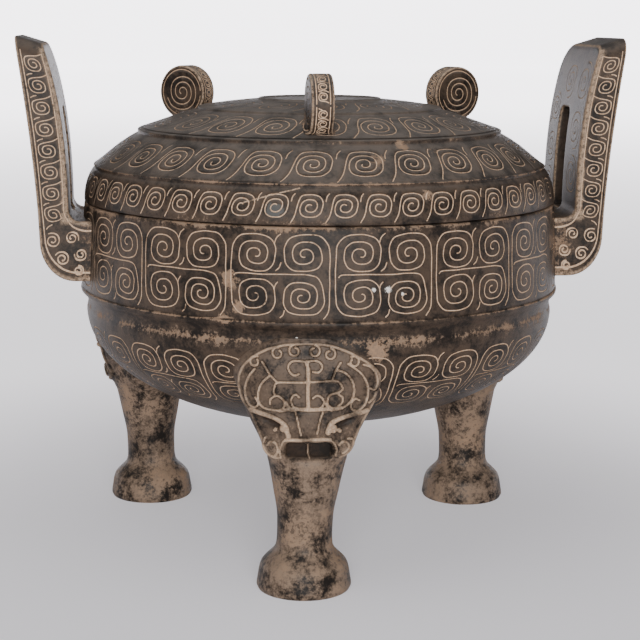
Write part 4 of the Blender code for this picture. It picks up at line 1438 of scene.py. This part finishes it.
# %% Colours of the clay and places of its scars
DARK = (0.0090, 0.0068, 0.0054, 1)
BROWN = (0.0250, 0.0155, 0.0100, 1)
PAINTED_SHEEN = (0.120, 0.108, 0.098, 1)
DUST = (0.190, 0.135, 0.096, 1)
BUFF = (0.500, 0.375, 0.265, 1)
TAN = (0.330, 0.205, 0.125, 1)
CHIP = (0.720, 0.690, 0.640, 1)
SCUFF = (0.080, 0.083, 0.080, 1)
chips = [(17.7, -117.7, 141.6, 1.5), (11.4, -118.5, 141.8, 0.9), (24.5, -116.5, 139.5, 0.8),
         (-22.0, -114.4, 120.1, 0.6), (64.8, -89.8, 186.0, 0.8)]
SCUFF_PLACE = (-31.1, -111.9, 176.9)
SCUFF_REACH = 3.4
scratches = [((-45.9, -106.1, 178.9), (-33.0, -108.8, 182.7)),
             ((-33.0, -108.8, 182.7), (-20.4, -109.2, 185.7))]
SCRATCH_WIDTH = 0.36
print("the clay has", len(chips), "chips and one long scratch")

# %% How the noises break up each layer
BROAD, MIDDLING, FINE, GRAIN = 24.0, 95.0, 560.0, 1500.0
BURNISH_EDGE = (0.40, 0.62)
SHEEN_EDGE = (0.3, 0.6)
DUST_EDGE = (0.40, 0.56)
SOIL_EDGE = (1.31, 1.43)
FILLED_DEPTH = (0.15, 0.75)
KEPT_EDGE = (0.35, 0.43, 0.2, 1.0)
WORN_EDGE = (0.36, 0.56, 0.05, 0.6)
RIDGE_RISE = (0.30, 0.85)
RIDGE_EDGE = (0.30, 0.60, 0.1, 0.75)
SCRATCH_EDGE = (0.38, 0.56, 0.1, 0.8)
CHIP_EDGE = (0.30, 0.52, 0.2, 0.9)
SOIL_PULL, SOIL_COVER, SCUFF_COVER = 0.42, 0.75, 0.55
print("noises of", [BROAD, MIDDLING, FINE, GRAIN], "waves to the metre break up the layers")

# %% Shader helpers
def blend(tree, factor, first, second):
    """One colour over another by a factor."""
    return put(tree, "ShaderNodeMixRGB", Fac=factor, Color1=first, Color2=second).outputs[0]


def noise(tree, coords, scale, detail=5.0, roughness=0.55):
    return put(tree, "ShaderNodeTexNoise", Vector=coords, Scale=scale, Detail=detail,
               Roughness=roughness).outputs[0]


def between(tree, value, low, high, first=0.0, last=1.0):
    """A value mapped smoothly from one range to another."""
    return put(tree, "ShaderNodeMapRange", Value=value, From_Min=low, From_Max=high, To_Min=first,
               To_Max=last, settings={"interpolation_type": "SMOOTHSTEP"}).outputs[0]


def share_of(tree, name):
    return put(tree, "ShaderNodeAttribute",
               settings={"attribute_name": name, "attribute_type": "GEOMETRY"}).outputs["Fac"]


def spot(tree, coords, ragged, place, reach):
    """1 inside a ragged round spot and 0 outside."""
    gap = put(tree, "ShaderNodeVectorMath", _0=coords, _1=tuple(Vector(place) * MM),
              settings={"operation": "DISTANCE"}).outputs["Value"]
    gap = sums(tree, "MULTIPLY_ADD", ragged, 4.0 * reach * MM, gap)
    return between(tree, gap, 2.65 * reach * MM, 3.0 * reach * MM, 1.0, 0.0)


def measured(tree, coords, direction, start):
    """How far a point lies from the start along a direction."""
    dot = put(tree, "ShaderNodeVectorMath", _0=coords, _1=tuple(direction),
              settings={"operation": "DOT_PRODUCT"}).outputs["Value"]
    return sums(tree, "SUBTRACT", dot, direction.dot(start))


def scratch(tree, coords, ends):
    """1 on a straight scratch between two points of the wall and 0 elsewhere."""
    start, end = (Vector(place) * MM for place in ends)
    run = (end - start).normalized()
    out = Vector((start.x, start.y, 0)).normalized()
    side = run.cross(out).normalized()
    across = sums(tree, "ABSOLUTE", measured(tree, coords, side, start))
    share = between(tree, across, 0.6 * SCRATCH_WIDTH * MM, SCRATCH_WIDTH * MM, 1.0, 0.0)
    along_share = measured(tree, coords, run, start)
    inside_run = times(tree, sums(tree, "GREATER_THAN", along_share, 0.0),
                       sums(tree, "LESS_THAN", along_share, (end - start).length))
    near = sums(tree, "GREATER_THAN", measured(tree, coords, out, start), -8.0 * MM)
    return times(tree, share, times(tree, inside_run, near))


print("spots and scratches are ready")

# %% The clay's layers
def clay_colours(tree, coords, sheen_strength):
    """The clay's colour with its painted sheen, how dull it is and its height, from attributes and
    noises.
    """
    broad, middling = noise(tree, coords, BROAD), noise(tree, coords, MIDDLING, 6.0, 0.65)
    fine, grain = noise(tree, coords, FINE, 6.0, 0.75), noise(tree, coords, GRAIN, 2.0)
    mottle = sums(tree, "MULTIPLY_ADD", fine, 0.4, times(tree, middling, 0.6))
    tone = blend(tree, between(tree, mottle, *BURNISH_EDGE), DARK, BROWN)
    # Painted sheen: a grey highlight laid on clay that faces up.
    level = times(tree, share_of(tree, "level"),
                  between(tree, middling, *SHEEN_EDGE, sheen_strength / 2, sheen_strength))
    tone = blend(tree, level, tone, PAINTED_SHEEN)
    dusty = times(tree, share_of(tree, "dusty"), between(tree, mottle, *DUST_EDGE))
    tone = blend(tree, dusty, tone, DUST)
    rough = sums(tree, "MULTIPLY_ADD", fine, 1.0, sums(
        tree, "MULTIPLY_ADD", middling, 0.6, times(tree, broad, 0.5)))
    soil = sums(tree, "MULTIPLY_ADD", share_of(tree, "soil"), SOIL_PULL, rough)
    soiled = between(tree, soil, *SOIL_EDGE)
    tone = blend(tree, times(tree, soiled, SOIL_COVER), tone,
                 blend(tree, between(tree, fine, 0.35, 0.65), TAN, DUST))
    scuffed = times(tree, spot(tree, coords, middling, SCUFF_PLACE, SCUFF_REACH), SCUFF_COVER)
    tone = blend(tree, scuffed, tone, SCUFF)
    kept = between(tree, mottle, *KEPT_EDGE)
    filled = times(tree, between(tree, share_of(tree, "incised"), *FILLED_DEPTH), kept)
    worn = times(tree, share_of(tree, "worn"), between(tree, fine, *WORN_EDGE))
    ridges = times(tree, between(tree, share_of(tree, "raised"), *RIDGE_RISE),
                   between(tree, middling, *RIDGE_EDGE))
    pale = larger(tree, filled, larger(tree, worn, ridges))
    for ends in scratches:
        broken = between(tree, fine, *SCRATCH_EDGE)
        pale = larger(tree, pale, times(tree, broken, scratch(tree, coords, ends)))
    tone = blend(tree, pale, tone, blend(tree, between(tree, grain, 0.3, 0.75), BUFF, TAN))
    for x, y, z, reach in chips:
        chip = times(tree, spot(tree, coords, fine, (x, y, z), reach),
                     between(tree, fine, *CHIP_EDGE))
        tone = blend(tree, chip, tone, CHIP)
    height = sums(tree, "MULTIPLY_ADD", fine, 0.6, times(tree, grain, 0.35))
    return tone, larger(tree, pale, soiled), sums(tree, "MULTIPLY_ADD", soiled, 0.4, height)


def clay_material(name, sheen_strength):
    material = bpy.data.materials.new(name)
    material.use_nodes = True
    tree = material.node_tree
    tree.nodes.clear()
    coords = tree.nodes.new("ShaderNodeTexCoord").outputs["Object"]
    tone, dull, height = clay_colours(tree, coords, sheen_strength)
    bump = put(tree, "ShaderNodeBump", Strength=0.45, Distance=0.0005, Height=height)
    clay = put(tree, "ShaderNodeBsdfPrincipled", Base_Color=tone, Normal=bump.outputs[0],
               Roughness=between(tree, dull, 0.0, 1.0, 0.43, 0.95), Specular_IOR_Level=0.12)
    put(tree, "ShaderNodeOutputMaterial", Surface=clay.outputs[0])
    return material


# The lid gets a stronger painted sheen than the vessel.
vessel_material = clay_material("vessel_clay", 0.45)
lid_material = clay_material("lid_clay", 0.85)
print("the clay material has", len(vessel_material.node_tree.nodes), "nodes")

# %% [markdown]
# ## Floor and light
#
# The pot stands on seamless pale paper that sweeps up behind it and grows brighter away from the
# pot. A wide sheet with a curved back does the same, and its brightening is painted light: the
# sheet glows, a little near and behind the pot and more and more far off, in place of lamps of its
# own. One large soft light in front and a weaker one above light the clay.

# %% Floor and light
FLOOR_REACH = 60.0
SWEEP_START = 8.0
SWEEP_RADIUS = 1.2
PAPER = (0.58, 0.565, 0.60, 1)
PAPER_GLOW = (1.0, 0.972, 1.012, 1)
SKY = (0.26, 0.255, 0.26, 1)
NEAR_GLOW = (0.12, 0.45, 0.0, 0.75)
BEHIND_THE_POT = (-0.28, 0.16)
FAR_GLOW = (0.3, 4.5, 0.36, 3.4)

world = bpy.data.worlds.new("studio")
world.use_nodes = True
world.node_tree.nodes["Background"].inputs["Color"].default_value = SKY
world.node_tree.nodes["Background"].inputs["Strength"].default_value = 1.0
bpy.context.scene.world = world
paper = bpy.data.materials.new("paper")
paper.use_nodes = True
tree = paper.node_tree
place = tree.nodes.new("ShaderNodeTexCoord").outputs["Object"]
reach = put(tree, "ShaderNodeVectorMath", _0=place, settings={"operation": "LENGTH"}).outputs["Value"]
behind = put(tree, "ShaderNodeSeparateXYZ", Vector=place).outputs["Y"]
# Painted light: the paper's emission, low near the pot and behind it, rising far off.
glow = times(tree, between(tree, reach, *NEAR_GLOW), between(tree, behind, *BEHIND_THE_POT))
glow = sums(tree, "ADD", glow, between(tree, reach, *FAR_GLOW))
sheet = tree.nodes["Principled BSDF"]
sheet.inputs["Base Color"].default_value = PAPER
sheet.inputs["Roughness"].default_value = 0.9
sheet.inputs["Specular IOR Level"].default_value = 0.1
sheet.inputs["Emission Color"].default_value = PAPER_GLOW
tree.links.new(glow, sheet.inputs["Emission Strength"])
sweep = [(-FLOOR_REACH, 0.0), (-2.0, 0.0), (2.0, 0.0)]
sweep += arc((SWEEP_START, SWEEP_RADIUS), SWEEP_RADIUS, -90, 0, 12)
floor_points = [(x, y, z) for y, z in sweep for x in (-FLOOR_REACH, FLOOR_REACH)]
floor_mesh = bpy.data.meshes.new("floor")
floor_mesh.from_pydata(floor_points, [], [(2 * i, 2 * i + 1, 2 * i + 3, 2 * i + 2)
                                          for i in range(len(sweep) - 1)])
floor_mesh.materials.append(paper)
floor_mesh.shade_smooth()
floor = bpy.data.objects.new("floor", floor_mesh)
bpy.context.scene.collection.objects.link(floor)


def soft_light(name, place, aim, size, watts):
    """A square soft light that looks at a point."""
    data = bpy.data.lights.new(name, "AREA")
    data.energy = watts
    data.size = size
    lamp = bpy.data.objects.new(name, data)
    lamp.location = place
    lamp.rotation_euler = (Vector(aim) - Vector(place)).to_track_quat("-Z", "Y").to_euler()
    bpy.context.scene.collection.objects.link(lamp)
    return lamp


soft_light("key", (-0.12, -1.60, 0.46), (0, 0, 0.12), size=0.9, watts=34.0)
soft_light("top", (-0.25, -0.20, 1.60), (0, 0, 0.15), size=1.2, watts=7.0)
print("two soft lights over a pale sweep of paper")

# %% [markdown]
# ## The pieces
#
# Every piece rides on the one fixed body and stands in for its solid. The lid's pieces replace the
# lid and the others the vessel.

# %% Pieces
SHARP_ANGLE = 38

for guide in (bowl_guide, lid_guide):
    bpy.data.objects.remove(guide, do_unlink=True)
made = [("bowl", bowl_mesh, "tripod_vessel")]
made += [(name, mesh, "tripod_vessel") for name, mesh in
         zip(("ear_right", "ear_left", "leg_front", "leg_right", "leg_left"),
             ear_meshes + leg_meshes)]
made += [("lid_dome", lid_mesh, "lid")]
made += [(name, mesh, "lid") for name, mesh in
         zip(("knob_front", "knob_right", "knob_left"), knob_meshes)]
for name, mesh, node in made:
    piece = bpy.data.objects.new(name, mesh)
    bpy.context.scene.collection.objects.link(piece)
    mesh.materials.clear()
    mesh.materials.append(lid_material if node == "lid" else vessel_material)
    mesh.shade_smooth()
    mesh.set_sharp_from_angle(angle=radians(SHARP_ANGLE))
    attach(piece, "root")
    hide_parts(node)
print(len(made), "pieces,", sum(len(mesh.polygons) for _, mesh, _ in made), "faces")
